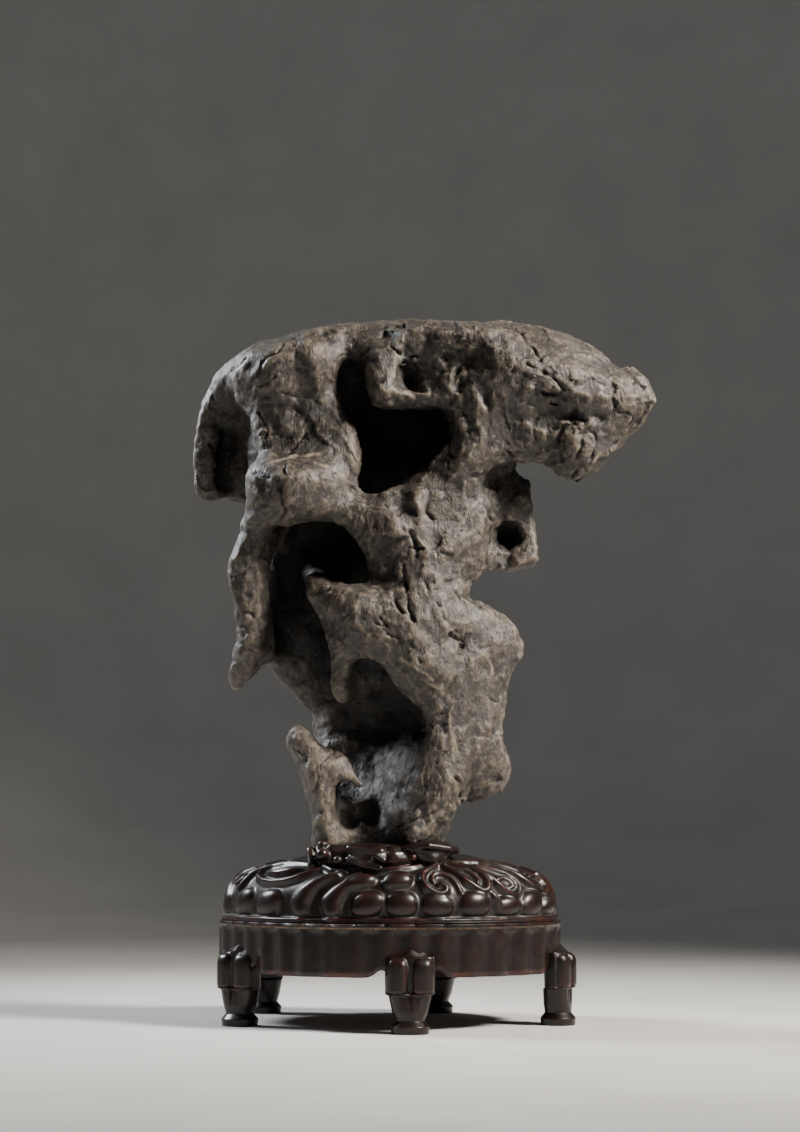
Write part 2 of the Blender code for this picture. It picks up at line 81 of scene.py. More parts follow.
# Broken faces: size of a face, how flat it gets, the furthest that a point moves, and seed.
FACETS = [(30, 0.85, 4.0, 41), (15, 1.0, 3.0, 42), (7.5, 0.9, 1.4, 43)]
FACET_WARP = 0.22                 # how far the faces' edges stray, in sizes of a face
AGREE_GAIN, AGREE_LOSS = 2, 0.6   # a point moves with its face fully within 37 degrees, and not from 73
BROKEN_MIDDLE, BROKEN_SLOPE, BROKEN_LEAST = 0.75, 120, 0.4  # the stone is more broken towards +X

# How marks stray from their lines: size of the bends, how far they reach, and a seed for each direction.
WANDERS = [(7, 1.2, (1, 2)), (3, 0.6, (3, 4))]
CRACK_WIDTH, CRACK_DEPTH = 0.6, 0.85  # how much of its listed width and depth a crack keeps
RIDGE_WIDTH, RIDGE_RISE = 1.5, 0.6    # the same for ridges
# The noise that breaks cracks up: its size, seed, middle and swing, and the least that stays of a crack.
CRACK_GAPS = (6.0, 8, 0.55, 0.9, 0.12)
LINE_MARGIN = 3                   # half widths beside a line where it still counts
OVAL_DEPTH = 0.65                 # how much of its listed depth an oval keeps
OVAL_SHARPNESS = 4.0              # how steep its edge is
GRAIN_DEPTH = 0.85                # how much of its listed depth a groove keeps
GRAIN_STRETCH = 3.2               # a groove's length over its pitch
GRAIN_EDGE = 0.02                 # grooves end where this little of them is left
GRAIN_SWAY = (0.5, 3, 5)          # how far grooves sway and over what length, in pitches, and the seed
GRAIN_LAYERS = [(0.6, 1, 6), (0.4, 0.5, 7)]  # share of the height, size in pitches, and seed

SWIRL = (11, 3, (11, 12, 13))     # size, reach and seeds of the bends that the weathering follows
# Weathering all over the stone: size of a lump, rise and seed; and size, width, depth and seed of creases.
WEATHERING = [(15, 0.6, 21), (7, 0.4, 22), (3.4, 0.3, 23), (1.9, 0.2, 26)]
CREASES = [(30, 0.02, 0.5, 24), (15, 0.03, 0.3, 25)]
# Small pits: size and seed of the noise that places them, and size, share and seed of what frays them.
PIT_PLACES, PIT_FRAYING = (9, 31), (4, 0.6, 32)
PIT_START, PIT_SPAN, PIT_DEPTH = 0.55, 0.3, 0.6

# How open to the sky a point is: rays sent, their seed, where they start above the surface, how much a ray
# counts that ends only at its reach, and the points nearby that are averaged, with the softness of that.
SKY_RAYS, SKY_SEED, SKY_START, SKY_HIT = 40, 7, 0.6, 0.5
SKY_NEIGHBOURS, SKY_SOFTNESS = 3, 0.5
# How sharp a point is: rounds of blur, and how far it has to stand out of what they leave; and the gain.
SHARP_SCALES, SHARP_GAIN = ((3, 0.35), (14, 1.1)), 0.25

# Each lump is the convex hull of its balls: x and z in the front view, depth and radius.
LUMPS = {
    # canopy: the broad cap that the whole rock hangs from
    "canopy left": [(-121, 447, 20, 17), (-96, 462, -5, 19), (-60, 471, -18, 20), (-20, 477, -15, 20),
                    (-20, 450, 72, 26), (-75, 440, 76, 24), (-112, 428, 55, 18)],
    "canopy middle": [(-12, 477, -18, 20), (30, 475, -26, 20), (77, 473, -30, 19), (72, 446, 72, 28),
                      (0, 450, 82, 28)],
    "canopy right": [(84, 475, -20, 21), (105, 471, -22, 21), (130, 460, -18, 19), (146, 446, -16, 15),
                     (92, 440, 66, 26), (122, 432, 50, 20)],
    # torso on the left
    "shoulder": [(-105, 458, -22, 15), (-86, 466, -36, 15), (-88, 449, -38, 13), (-108, 441, -14, 11)],
    "shoulder bump": [(-64, 469, -38, 14), (-60, 456, -34, 14), (-66, 455, 0, 20)],
    "waist": [(-92, 425, -20, 16), (-72, 428, -24, 15), (-90, 408, -20, 16), (-88, 440, -10, 18)],
    "flank": [(-54, 428, -22, 18), (-43, 404, -28, 16), (-42, 388, -28, 15), (-64, 402, -20, 18)],
    "belly": [(-95, 378, -36, 17), (-76, 376, -46, 18), (-93, 361, -32, 15), (-60, 375, -42, 18),
              (-52, 361, -34, 13), (-78, 358, -38, 12)],
    "torso core": [(-95, 440, 20, 20), (-92, 375, 15, 18), (-55, 440, 30, 30), (-55, 375, 25, 26)],
    # thin flap behind the torso
    "flap top": [(-131, 446, 22, 9), (-138, 418, 28, 10), (-118, 435, 55, 14)],
    "flap foot": [(-138, 418, 28, 10), (-140, 392, 32, 9), (-137, 366, 34, 8), (-120, 395, 56, 12)],
    "flap root": [(-118, 430, 55, 14), (-114, 375, 52, 14), (-85, 400, 48, 20)],
    # lobe that hangs on the left
    "lobe neck": [(-103, 352, -20, 10), (-111, 318, -14, 13), (-92, 345, 10, 14)],
    "lobe middle": [(-111, 316, -14, 13), (-108, 298, -10, 12), (-104, 272, -4, 11), (-96, 290, 12, 12)],
    "lobe inner": [(-98, 290, 2, 8), (-94, 262, 10, 8), (-96, 300, 25, 14), (-90, 265, 30, 12)],
    "lobe foot": [(-104, 264, -2, 11), (-112, 242, 4, 10), (-115, 231, 8, 6), (-104, 250, 22, 10)],
    "left wall": [(-86, 345, 56, 18), (-88, 258, 54, 14), (-64, 232, 52, 15), (-45, 345, 56, 22)],
    # knob and roll in the middle of the canopy
    "knob": [(-13, 463, -44, 12), (-11, 444, -44, 13), (-2, 440, -40, 12), (0, 462, -20, 14)],
    "knob right": [(12, 440, -38, 10), (26, 440, -38, 10), (20, 452, -14, 18)],
    "knob ridge": [(34, 460, -44, 5), (37, 447, -46, 5), (30, 437, -42, 7), (40, 450, -20, 10)],
    "roll": [(6, 483, -40, 10), (40, 483, -46, 10), (72, 481, -46, 11), (60, 480, -10, 12)],
    # head on the right
    "brow": [(80, 450, -56, 8), (97, 457, -60, 8), (121, 452, -58, 8), (144, 446, -50, 8),
             (88, 478, -30, 16), (126, 465, -28, 14), (72, 470, -44, 12)],
    "temple": [(66, 462, -46, 12), (60, 446, -46, 12), (76, 440, -46, 10), (60, 450, -10, 18)],
    "neck": [(49, 434, -44, 12), (46, 412, -42, 10), (54, 400, -42, 12), (60, 420, -10, 18)],
    "under the brow": [(84, 437, -46, 11), (86, 425, -42, 11), (70, 432, -40, 12)],
    "nose root": [(134, 437, -47, 12), (146, 432, -44, 12), (136, 422, -42, 12)],
    "face": [(62, 430, -42, 14), (110, 428, -42, 13), (138, 428, -42, 13), (70, 401, -38, 12),
             (95, 402, -36, 13), (100, 425, 5, 16)],
    "jowl": [(124, 412, -44, 13), (125, 387, -34, 12), (139, 397, -32, 12), (152, 414, -36, 13),
             (120, 425, 0, 16)],
    "jaw corner": [(50, 393, -38, 12), (58, 398, -38, 12), (46, 390, -30, 9), (60, 405, 0, 14)],
    "nose": [(167, 450, -38, 12), (171, 440, -42, 13), (162, 424, -38, 13), (150, 440, -36, 14),
             (140, 430, 0, 16)],
    "head core": [(55, 430, 20, 22), (115, 432, 20, 22), (140, 436, 10, 18), (70, 455, 45, 28)],
    # hooked piece under the head
    "hook top": [(66, 362, -16, 8), (88, 363, -10, 7), (80, 372, 15, 14), (60, 372, 5, 14)],
    "hook limb": [(89, 360, -11, 7), (94, 330, -14, 7), (84, 352, -8, 6)],
    "hook jaw": [(94, 328, -13, 7), (93, 320, -12, 7), (67, 317, -12, 5), (80, 322, 6, 7)],
    "hook back": [(78, 340, 26, 14), (82, 360, 20, 12), (45, 340, 10, 20), (72, 326, 18, 9)],
    # middle of the rock
    "ridge": [(32, 387, -28, 12), (24, 372, -34, 12), (8, 370, -24, 10), (-12, 357, -28, 11),
              (10, 350, -32, 14)],
    "panel": [(40, 372, -24, 10), (50, 362, -24, 12), (50, 340, -24, 14), (47, 320, -24, 14),
              (34, 300, -24, 13), (28, 350, -30, 14)],
    "cheek boss": [(-29, 351, -34, 13), (-14, 353, -38, 13), (-2, 340, -38, 14), (-20, 340, -28, 12)],
    "cheek bump": [(-19, 329, -32, 9), (-16, 320, -28, 8), (0, 325, -24, 14)],
    "column top": [(5, 325, -36, 13), (10, 300, -38, 16), (28, 330, -32, 16), (30, 300, -30, 16)],
    # trunk and its diagonal arm
    "arm": [(-64, 304, -20, 8), (-48, 294, -38, 10), (-32, 284, -46, 11), (-10, 286, -46, 11),
            (6, 276, -42, 16), (-45, 285, -10, 14)],
    "arm root": [(-73, 316, -8, 6), (-62, 306, -16, 9), (-58, 310, 20, 14)],
    "trunk corner": [(-35, 280, -46, 8), (-41, 255, -38, 6), (-46, 278, -12, 10), (-42, 254, -10, 8)],
    "trunk face": [(-32, 275, -44, 9), (-12, 268, -44, 11), (8, 255, -42, 14), (12, 230, -38, 10),
                   (20, 280, -40, 16), (24, 225, -38, 12)],
    "jamb": [(-42, 250, -30, 5.5), (-42, 224, -28, 5), (-38, 250, 0, 10), (-36, 228, 0, 9)],
    "trunk core": [(-34, 262, 5, 16), (-20, 236, 8, 14), (20, 236, 0, 24), (20, 285, 0, 26)],
    # right flank
    "flank top": [(38, 280, -28, 16), (70, 273, -14, 11), (73, 262, -16, 13), (46, 250, -30, 16)],
    "lip": [(74, 275, -12, 10), (76, 250, -12, 10), (84, 251, -12, 5), (58, 262, -16, 14)],
    "flank waist": [(66, 242, -16, 14), (50, 216, -24, 16), (56, 198, -22, 13), (30, 232, -34, 14),
                    (30, 205, -34, 12)],
    "flank foot": [(57, 198, -22, 13), (66, 176, -18, 13), (64, 166, -16, 11), (50, 157, -14, 9),
                   (44, 185, -26, 12)],
    "column foot": [(30, 205, -36, 12), (26, 170, -38, 13), (22, 150, -36, 11), (33, 144, -30, 9),
                    (42, 180, -24, 12)],
    "tip": [(24, 143, -38, 9), (6, 136, -44, 6), (5, 123, -47, 4), (24, 134, -36, 7), (14, 130, -40, 6)],
    # stump on the lower left
    "stump head": [(-79, 193, -22, 5.5), (-70, 202, -24, 5), (-66, 186, -28, 8), (-60, 180, -12, 9)],
    "stump shin": [(-66, 184, -28, 7.5), (-58, 172, -32, 8), (-54, 150, -30, 8.5), (-58, 168, -4, 8)],
    "stump shank": [(-54, 152, -30, 8.5), (-50, 130, -28, 9), (-48, 112, -24, 10), (-46, 135, 10, 12)],
    "stump arch": [(-56, 180, -30, 6), (-44, 180, -30, 6), (-35, 173, -30, 5), (-44, 178, -14, 8)],
    "stump hook": [(-36, 174, -30, 5), (-28, 163, -30, 4.5), (-27, 154, -30, 3.5)],
    # spine and back, which close the hollows behind
    "spine top": [(-20, 425, 60, 30), (30, 420, 58, 30), (-30, 370, 56, 28), (30, 365, 46, 28)],
    "spine middle": [(-40, 340, 58, 24), (25, 340, 38, 28), (-20, 290, 54, 22), (20, 280, 32, 24)],
    "spine low": [(-30, 285, 54, 22), (20, 270, 30, 26), (-38, 225, 52, 20), (25, 215, 30, 24)],
    "base back": [(-46, 206, 50, 16), (15, 205, 40, 20), (-38, 140, 28, 18), (15, 140, 20, 20)],
    "base": [(-44, 140, 4, 13), (-20, 134, 20, 20), (18, 140, -12, 16), (-46, 112, -10, 10),
             (14, 112, -16, 12), (-14, 112, 26, 14)],
    # bosses on the back
    "back boss high": [(-58, 440, 88, 20), (-30, 425, 98, 16), (-50, 415, 80, 16)],
    "back boss right": [(60, 425, 88, 20), (88, 428, 76, 18), (45, 400, 82, 14)],
    "back rib": [(6, 400, 84, 12), (-8, 350, 80, 13), (4, 300, 72, 12), (0, 330, 60, 20)],
    "back shelf": [(-52, 300, 72, 13), (-20, 288, 76, 11), (-30, 268, 64, 14)],
    "back heel": [(-26, 190, 66, 13), (8, 178, 58, 14), (-12, 150, 52, 14)],
    "side wall": [(8, 185, -4, 12), (-4, 160, -14, 10), (0, 140, -20, 12), (22, 180, -24, 12),
                  (4, 170, 24, 14)],
}

# Each hollow is the hull of its balls too, and it is cut from the mass.
HOLLOWS = {
    "window": [(-8, 414, -60, 13), (16, 415, -60, 11), (-13, 386, -60, 9), (0, 392, -60, 10),
               (-6, 405, 24, 16), (10, 408, 20, 12)],
    "canopy recess": [(-36, 470, -58, 8), (-36, 440, -60, 12), (-28, 426, -60, 12), (-36, 455, -14, 8),
                      (-30, 430, -14, 9)],
    "knob pocket": [(3, 466, -66, 6), (5, 452, -66, 8), (13, 446, -66, 7), (7, 452, -32, 6)],
    "bite": [(53, 297, -70, 8), (60, 295, -70, 7), (95, 306, -70, 10), (55, 297, 110, 8),
             (95, 306, 110, 10)],
    "roll groove": [(16, 468, -86, 4.5), (40, 466, -86, 5.5), (58, 471, -86, 4), (36, 469, -44, 5)],
    "flap gap": [(-121, 432, -10, 8), (-124, 405, -10, 9), (-127, 372, -10, 8), (-122, 410, 30, 7),
                 (-126, 375, 30, 7)],
    "arm hollow": [(-72, 337, -50, 8), (-40, 324, -56, 14), (-24, 306, -56, 8), (-66, 330, 20, 12),
                   (-40, 324, 20, 14)],
    "side hollow": [(-80, 328, -50, 12), (-76, 276, -50, 15), (-72, 240, -50, 14), (-80, 318, 26, 14),
                    (-72, 242, 26, 14)],
    "trunk recess": [(-30, 250, -60, 6), (-34, 228, -60, 6), (-4, 228, -60, 7), (-28, 236, -26, 8)],
    "cave": [(-46, 203, -60, 10), (4, 203, -60, 10), (-52, 204, 24, 10), (-4, 203, 20, 11)],
    "cave foot": [(-8, 190, -60, 11), (-14, 160, -60, 8), (-14, 140, -60, 7), (-16, 185, 4, 8),
                  (-18, 142, -6, 6)],
    "stump pocket": [(-38, 162, -60, 8), (-38, 138, -60, 8), (-38, 160, -14, 7), (-36, 138, -12, 7)],
    "hook hole": [(75, 354, -40, 6), (71, 330, -40, 7), (85, 329, -40, 5), (82, 350, -40, 5),
                  (75, 338, -4, 8)],
    "waist shade": [(-94, 418, -50, 5), (-72, 416, -54, 5), (-80, 426, -54, 5)],
    "brow shade": [(103, 438, -70, 4), (118, 438, -70, 4), (110, 437, -50, 4)],
    "foot pocket": [(49, 158, -44, 5), (49, 150, -44, 5), (48, 155, -22, 4)],
    "flank slot": [(43, 266, -60, 3.5), (44, 257, -60, 3), (43, 262, -36, 4)],
}

# Marks on the front of the stone, as places (x, z) in the front view. Each crack and ridge is a line:
# half width, depth or height, and its points.
CRACKS = {
    "shoulder slit": (1.5, 2.4, [(-83, 479), (-88, 474), (-96, 469), (-100, 462), (-104, 453)]),
    "shoulder corner": (1.2, 1.8, [(-120, 459), (-115, 463), (-110, 469)]),
    "shoulder crease": (1.2, 1.6, [(-110, 446), (-103, 447), (-96, 450), (-89, 454)]),
    "shoulder nick": (1.2, 1.4, [(-95, 461), (-88, 466)]),
    "under the shoulder": (1.4, 2.0, [(-82, 441), (-76, 440), (-68, 440), (-62, 438), (-57, 434)]),
    "waist": (1.4, 2.6, [(-66, 413), (-72, 407), (-76, 402), (-81, 399)]),
    "waist left": (1.3, 2.0, [(-102, 428), (-98, 422), (-95, 415), (-97, 410)]),
    "belly": (1.8, 3.2, [(-80, 391), (-82, 386), (-81, 380), (-85, 373), (-86, 366), (-81, 357),
                         (-85, 350)]),
    "belly right": (1.5, 2.2, [(-60, 383), (-55, 380), (-48, 379), (-39, 377), (-31, 372)]),
    "belly left": (1.2, 1.5, [(-104, 384), (-98, 383), (-91, 382)]),
    "flank nick": (1.3, 1.8, [(-55, 426), (-57, 422), (-58, 419)]),
    "flank seam": (0.9, 0.9, [(-44, 418), (-40, 409), (-35, 401), (-31, 392)]),
    "canopy nick": (1.3, 1.6, [(-50, 488), (-45, 488), (-40, 487)]),
    "knob top": (1.6, 4.0, [(-6, 477), (-1, 473), (4, 470), (12, 469)]),
    "knob seam": (1.5, 3.0, [(-4, 491), (3, 492)]),
    "temple": (2.6, 5.0, [(42, 460), (38, 455), (38, 447), (43, 443)]),
    "neck": (1.8, 5.0, [(38, 428), (36, 420), (35, 411), (35, 403), (37, 397)]),
    "jaw block": (1.2, 1.8, [(34, 394), (34, 388), (38, 384), (42, 382)]),
    "jaw block top": (1.8, 3.6, [(35, 398), (40, 397)]),
    "head main": (1.6, 3.4, [(74, 491), (82, 490), (88, 486), (91, 480), (96, 475), (99, 470), (101, 465),
                             (103, 459), (109, 455), (113, 451), (118, 445)]),
    "head upper": (1.2, 1.8, [(77, 490), (82, 486), (84, 481)]),
    "head side": (1.4, 3.0, [(90, 475), (91, 470), (90, 464), (95, 461), (99, 459), (104, 457)]),
    "head cross": (1.3, 2.2, [(74, 474), (79, 472), (82, 468), (85, 464), (88, 468)]),
    "head cross foot": (1.2, 2.0, [(80, 458), (85, 464)]),
    "brow nick": (1.3, 2.6, [(97, 448), (98, 443), (100, 440)]),
    "brow shadow": (2.4, 4.0, [(99, 444), (106, 442), (113, 442), (118, 439), (123, 436)]),
    "nose crease": (1.5, 2.2, [(151, 452), (154, 446), (152, 440), (154, 435), (152, 430)]),
    "nose fold": (1.5, 2.0, [(155, 429), (161, 429), (167, 426), (166, 421), (160, 416)]),
    "nose edge": (1.3, 1.8, [(178, 432), (171, 422), (163, 414), (152, 404)]),
    "cheek long": (1.5, 3.0, [(131, 431), (131, 424), (134, 416), (139, 411), (140, 405), (138, 399),
                              (134, 391)]),
    "cheek knob left": (2.0, 3.4, [(123, 421), (116, 418), (113, 410), (113, 402), (116, 394)]),
    "cheek knob right": (1.8, 3.2, [(124, 421), (128, 415), (129, 406), (126, 397)]),
    "cheek streak one": (1.4, 2.0, [(90, 416), (89, 409), (90, 403)]),
    "cheek streak two": (1.6, 2.4, [(98, 425), (96, 417), (97, 409)]),
    "cheek streak three": (1.4, 2.0, [(106, 420), (105, 412), (109, 405)]),
    "cheek streak four": (1.3, 1.8, [(73, 432), (76, 424), (78, 416)]),
    "cheek edge": (1.9, 3.2, [(75, 401), (79, 397), (82, 394), (88, 391)]),
    "jaw fold": (1.4, 2.2, [(122, 380), (125, 386), (129, 391), (132, 386)]),
    "jaw strap": (1.2, 1.6, [(150, 399), (143, 395), (137, 390)]),
    "panel edge": (1.5, 2.4, [(59, 361), (64, 356), (66, 350)]),
    "panel side": (1.5, 2.4, [(65, 345), (65, 336), (63, 327), (61, 318)]),
    "cheek boss": (1.2, 1.8, [(-10, 361), (-6, 355), (-1, 349), (4, 342)]),
    "oval lobe": (1.7, 3.4, [(22, 369), (20, 361), (20, 355), (24, 350)]),
    "star": (2.4, 5.0, [(8, 342), (10, 336), (11, 329), (10, 323)]),
    "star arm": (1.7, 3.6, [(7, 331), (16, 330)]),
    "column left": (1.5, 3.4, [(2, 318), (3, 311), (4, 303), (5, 295), (6, 288), (9, 281), (12, 274)]),
    "arm top": (1.8, 4.0, [(-5, 298), (-2, 291), (2, 284)]),
    "column middle": (1.6, 3.6, [(18, 306), (20, 299), (24, 293), (29, 288), (31, 281), (36, 276),
                                 (40, 271)]),
    "column short": (1.0, 1.6, [(26, 328), (27, 323), (29, 318)]),
    "column right": (1.3, 1.9, [(38, 300), (42, 296), (45, 291)]),
    "flank slot": (2.6, 4.4, [(35, 270), (40, 266), (43, 261), (43, 255)]),
    "arm end": (1.7, 3.4, [(-18, 289), (-13, 280), (-10, 276)]),
    "arm upper": (1.2, 1.5, [(-18, 292), (-9, 291), (-1, 288)]),
    "arm seam": (1.1, 1.4, [(-33, 281), (-25, 280), (-17, 277), (-12, 275)]),
    "arm lower": (1.2, 1.8, [(-10, 270), (-5, 268), (1, 266)]),
    "trunk nick": (1.4, 2.2, [(9, 261), (12, 256), (15, 250)]),
    "box pit": (1.5, 2.2, [(33, 213), (28, 216), (25, 213), (28, 209), (34, 210)]),
    "flank smile": (1.2, 1.9, [(61, 226), (64, 222), (69, 221)]),
    "foot split": (2.2, 4.5, [(38, 169), (41, 164), (42, 158), (43, 151)]),
    "tip seam": (1.3, 2.2, [(-3, 134), (5, 138), (14, 141), (24, 144), (28, 147)]),
    "tip nick": (1.6, 2.6, [(26, 151), (29, 148)]),
    "stump band": (1.2, 1.8, [(-78, 188), (-72, 188), (-67, 184), (-64, 190)]),
    "stump arc": (1.1, 1.6, [(-56, 172), (-54, 178), (-51, 184), (-46, 186)]),
    "stump line": (1.0, 1.4, [(-59, 177), (-57, 169), (-60, 160), (-56, 152)]),
    "lobe break": (2.2, 3.0, [(-113, 288), (-109, 285), (-103, 283)]),
    "lobe ring": (1.2, 1.8, [(-119, 309), (-114, 311), (-109, 312)]),
    "lobe scar": (1.2, 1.8, [(-110, 256), (-105, 258), (-100, 257)]),
}
RIDGES = {
    "ledge": (2.6, 1.8, [(-97, 391), (-88, 392), (-80, 394), (-70, 396), (-61, 398), (-52, 400)]),
    "belly rim": (2.0, 1.0, [(-64, 381), (-56, 380), (-48, 379), (-40, 378), (-31, 371)]),
    "belly rib": (2.0, 1.6, [(-79, 390), (-79, 380), (-82, 371), (-82, 362), (-79, 353)]),
    "belly left rib": (1.8, 1.2, [(-90, 382), (-91, 374), (-88, 366)]),
    "flank rim": (2.2, 1.2, [(-57, 434), (-50, 428), (-44, 418), (-38, 405), (-32, 393), (-30, 380)]),
    "temple rim": (1.8, 2.4, [(39, 459), (35, 454), (35, 447), (37, 442)]),
    "neck rim": (1.8, 1.6, [(47, 443), (42, 436), (40, 428), (39, 418), (38, 409), (37, 402)]),
    "brow": (3.2, 4.5, [(77, 440), (83, 443), (90, 446), (98, 449), (106, 448), (113, 446), (120, 444),
                        (128, 442), (136, 441), (146, 441)]),
    "cheek rib": (1.6, 1.0, [(112, 421), (117, 424), (121, 427)]),
    "panel rim": (1.8, 1.0, [(31, 339), (34, 332), (32, 324), (33, 314)]),
    "trunk corner": (2.4, 1.6, [(-33, 281), (-35, 272), (-39, 262), (-43, 254), (-47, 249)]),
    "arm crest": (2.0, 1.0, [(-50, 304), (-38, 300), (-26, 296), (-14, 295), (-6, 295)]),
    "arm groove rim": (1.6, 1.0, [(-15, 291), (-6, 289), (2, 283), (8, 275), (12, 267)]),
    "recess rib": (1.8, 1.6, [(-38, 244), (-31, 241), (-25, 236)]),
    "lip ring": (1.6, 0.9, [(46, 277), (52, 280), (59, 279), (58, 274), (52, 272)]),
    "flank leaf": (1.4, 0.9, [(76, 258), (73, 250), (72, 242), (75, 233)]),
    "flank leaf inner": (1.4, 0.9, [(80, 262), (78, 252), (77, 242), (78, 234)]),
    "flank fold": (1.4, 0.8, [(58, 270), (60, 262), (56, 254), (52, 246)]),
    "foot strap": (2.0, 1.6, [(58, 177), (55, 171), (49, 166), (44, 167)]),
    "foot edge": (1.6, 1.0, [(29, 197), (27, 189), (24, 181), (20, 170), (16, 156)]),
    "stump rim": (1.8, 1.2, [(-52, 186), (-46, 187), (-40, 184), (-33, 177), (-27, 170), (-24, 162)]),
    "cave rib": (2.0, 1.6, [(-9, 190), (-6, 180), (0, 171), (4, 160)]),
    "lobe seam": (1.5, 1.0, [(-100, 300), (-99, 288), (-96, 276), (-94, 264)]),
}
# Pale veins that barely stand out of the surface.
VEINS = {
    "panel": (1.0, 0.5, [(57, 366), (51, 360), (48, 353), (44, 347), (38, 344), (31, 338)]),
    "panel fork": (0.8, 0.4, [(45, 350), (38, 347), (33, 342)]),
    "ridge": (0.9, 0.4, [(27, 397), (24, 390), (25, 383), (26, 376)]),
    "low": (1.3, 0.5, [(18, 236), (25, 231), (33, 226), (38, 220), (35, 212), (35, 204), (38, 194),
                       (41, 184),
                       (43, 175)]),
    "low fork": (1.0, 0.4, [(36, 197), (37, 188), (38, 179)]),
    "trunk": (1.0, 0.4, [(0, 252), (9, 247), (17, 241), (24, 236)]),
    "flank": (1.0, 0.4, [(-46, 430), (-42, 416), (-35, 403), (-28, 391)]),
    "belly": (0.9, 0.4, [(-60, 392), (-50, 389), (-42, 383), (-35, 376)]),
    "ledge": (1.3, 0.4, [(-92, 393), (-80, 395), (-68, 397), (-58, 398)]),
    "lip": (0.9, 0.3, [(60, 262), (62, 250), (66, 240)]),
    "cheek boss": (1.2, 0.4, [(-8, 322), (-3, 328), (2, 334)]),
    "jaw": (1.0, 0.4, [(150, 401), (144, 399), (139, 394)]),
}
# Pits and bosses are ovals: x, z, half width, half height, tilt in degrees and depth. A boss has a
# negative depth.
OVALS = {
    "face": (98, 417, 36, 17, 6, 9.0),
    "canopy pit": (-57, 486, 4.0, 2.2, -10, 3.0),
    "canopy notch": (-9, 484, 5.0, 4.5, 20, 8.0),
    "shoulder pit": (-94, 441, 4.5, 3.0, 10, 3.0),
    "belly pit": (-97, 375, 4.5, 6.0, 0, 4.5),
    "belly slot": (-86, 374, 3.0, 4.5, 0, 4.0),
    "belly low pit": (-96, 360, 3.0, 2.0, 30, 2.2),
    "waist pit": (-92, 420, 6.0, 6.0, 30, 3.0),
    "waist pit right": (-75, 426, 5.0, 5.0, 0, 3.0),
    "groove pit": (33, 470, 4.5, 2.5, 0, 3.0),
    "groove pit right": (49, 467, 7.0, 5.0, 10, 5.0),
    "temple pit": (42, 448, 3.2, 5.5, 10, 5.0),
    "neck pit": (49, 424, 4.0, 6.0, 20, 4.0),
    "neck pit top": (63, 436, 3.0, 5.5, 15, 4.0),
    "neck pit foot": (53, 415, 3.5, 2.5, 20, 3.0),
    "cheek pit": (126, 424, 4.0, 4.5, 10, 6.0),
    "cheek cave": (109, 396, 6.5, 4.5, 0, 5.0),
    "cheek dent": (103, 430, 6.0, 5.0, 0, 2.5),
    "cheek knob": (121, 410, 5.5, 8.5, 8, -3.0),
    "cheek block": (78, 393, 2.5, 3.0, 0, 3.0),
    "nose pit": (141, 424, 3.0, 3.5, 40, 2.4),
    "cheek hollow": (3, 360, 6.5, 9.5, 15, 8.0),
    "oval lobe": (14, 357, 4.5, 11.0, 3, -2.6),
    "panel pit": (32, 338, 2.0, 2.0, 0, 3.0),
    "column pit": (21, 307, 3.0, 2.6, 0, 3.4),
    "column pit right": (36, 307, 2.6, 1.6, 0, 2.6),
    "slot pit": (40, 265, 5.0, 5.0, 30, 4.0),
    "arm pit": (-37, 282, 2.6, 1.4, 20, 2.2),
    "box pit": (28, 212, 2.4, 2.0, 0, 2.6),
    "foot pit": (47, 158, 5.0, 6.5, 10, 5.0),
    "foot hole": (67, 166, 3.4, 2.6, 25, 4.0),
    "foot hole left": (57, 158, 3.6, 3.0, 0, 2.6),
    "lobe pit": (-108, 297, 3.0, 3.0, 0, 2.2),
    "cave block": (-1, 143, 5.5, 5.5, 0, -3.0),
}
# Patches of fine parallel grooves: x, z, half width, half height, direction in degrees, pitch, depth.
GRAIN = {
    "shoulder": (-100, 460, 26, 26, 52, 3.6, 1.0),
    "shoulder bump": (-66, 465, 18, 20, 88, 2.0, 0.5),
    "flap": (-138, 425, 16, 40, 82, 3.0, 0.9),
    "waist": (-88, 420, 26, 20, 60, 3.4, 1.2),
    "belly": (-90, 362, 26, 18, 45, 3.4, 1.1),
    "flank": (-48, 405, 20, 26, 118, 4.0, 0.5),
    "head": (122, 466, 34, 26, -22, 3.2, 0.7),
    "nose": (166, 440, 20, 24, 70, 3.4, 0.6),
    "cheek": (88, 415, 34, 24, 95, 4.2, 1.0),
    "jowl": (140, 405, 26, 22, 60, 3.4, 0.8),
    "neck": (50, 425, 14, 26, 95, 3.4, 0.9),
    "roll": (40, 484, 44, 12, 20, 3.6, 0.5),
    "knob": (-14, 455, 14, 24, 95, 3.4, 0.8),
    "cheek boss": (-32, 348, 16, 24, 78, 3.6, 1.1),
    "cheek bump": (-20, 328, 12, 12, 50, 2.6, 0.9),
    "panel": (50, 320, 20, 24, 25, 2.4, 0.6),
    "column": (15, 290, 26, 30, 105, 5.0, 0.9),
    "arm face": (-50, 285, 20, 34, 52, 2.8, 1.0),
    "arm": (-15, 282, 26, 16, -18, 3.4, 0.6),
    "trunk": (0, 245, 24, 26, -48, 4.0, 0.7),
    "flank low": (68, 240, 24, 40, 96, 5.0, 0.8),
    "lower column": (40, 195, 34, 40, 84, 4.4, 0.7),
    "foot": (30, 150, 24, 20, 60, 3.2, 0.8),
    "stump": (-62, 165, 22, 44, 68, 3.0, 0.9),
    "lobe": (-106, 315, 20, 34, 100, 2.6, 0.9),
    "lobe low": (-106, 265, 16, 22, 32, 3.0, 1.0),
    "cave wall": (0, 170, 20, 28, 80, 2.6, 1.0),
    "hook": (84, 345, 22, 34, 75, 3.0, 0.7),
}

# ---------------------------------------------------------------- the stand
STAND_CENTRE = (-10.0, 26.0)      # x and y in the layout
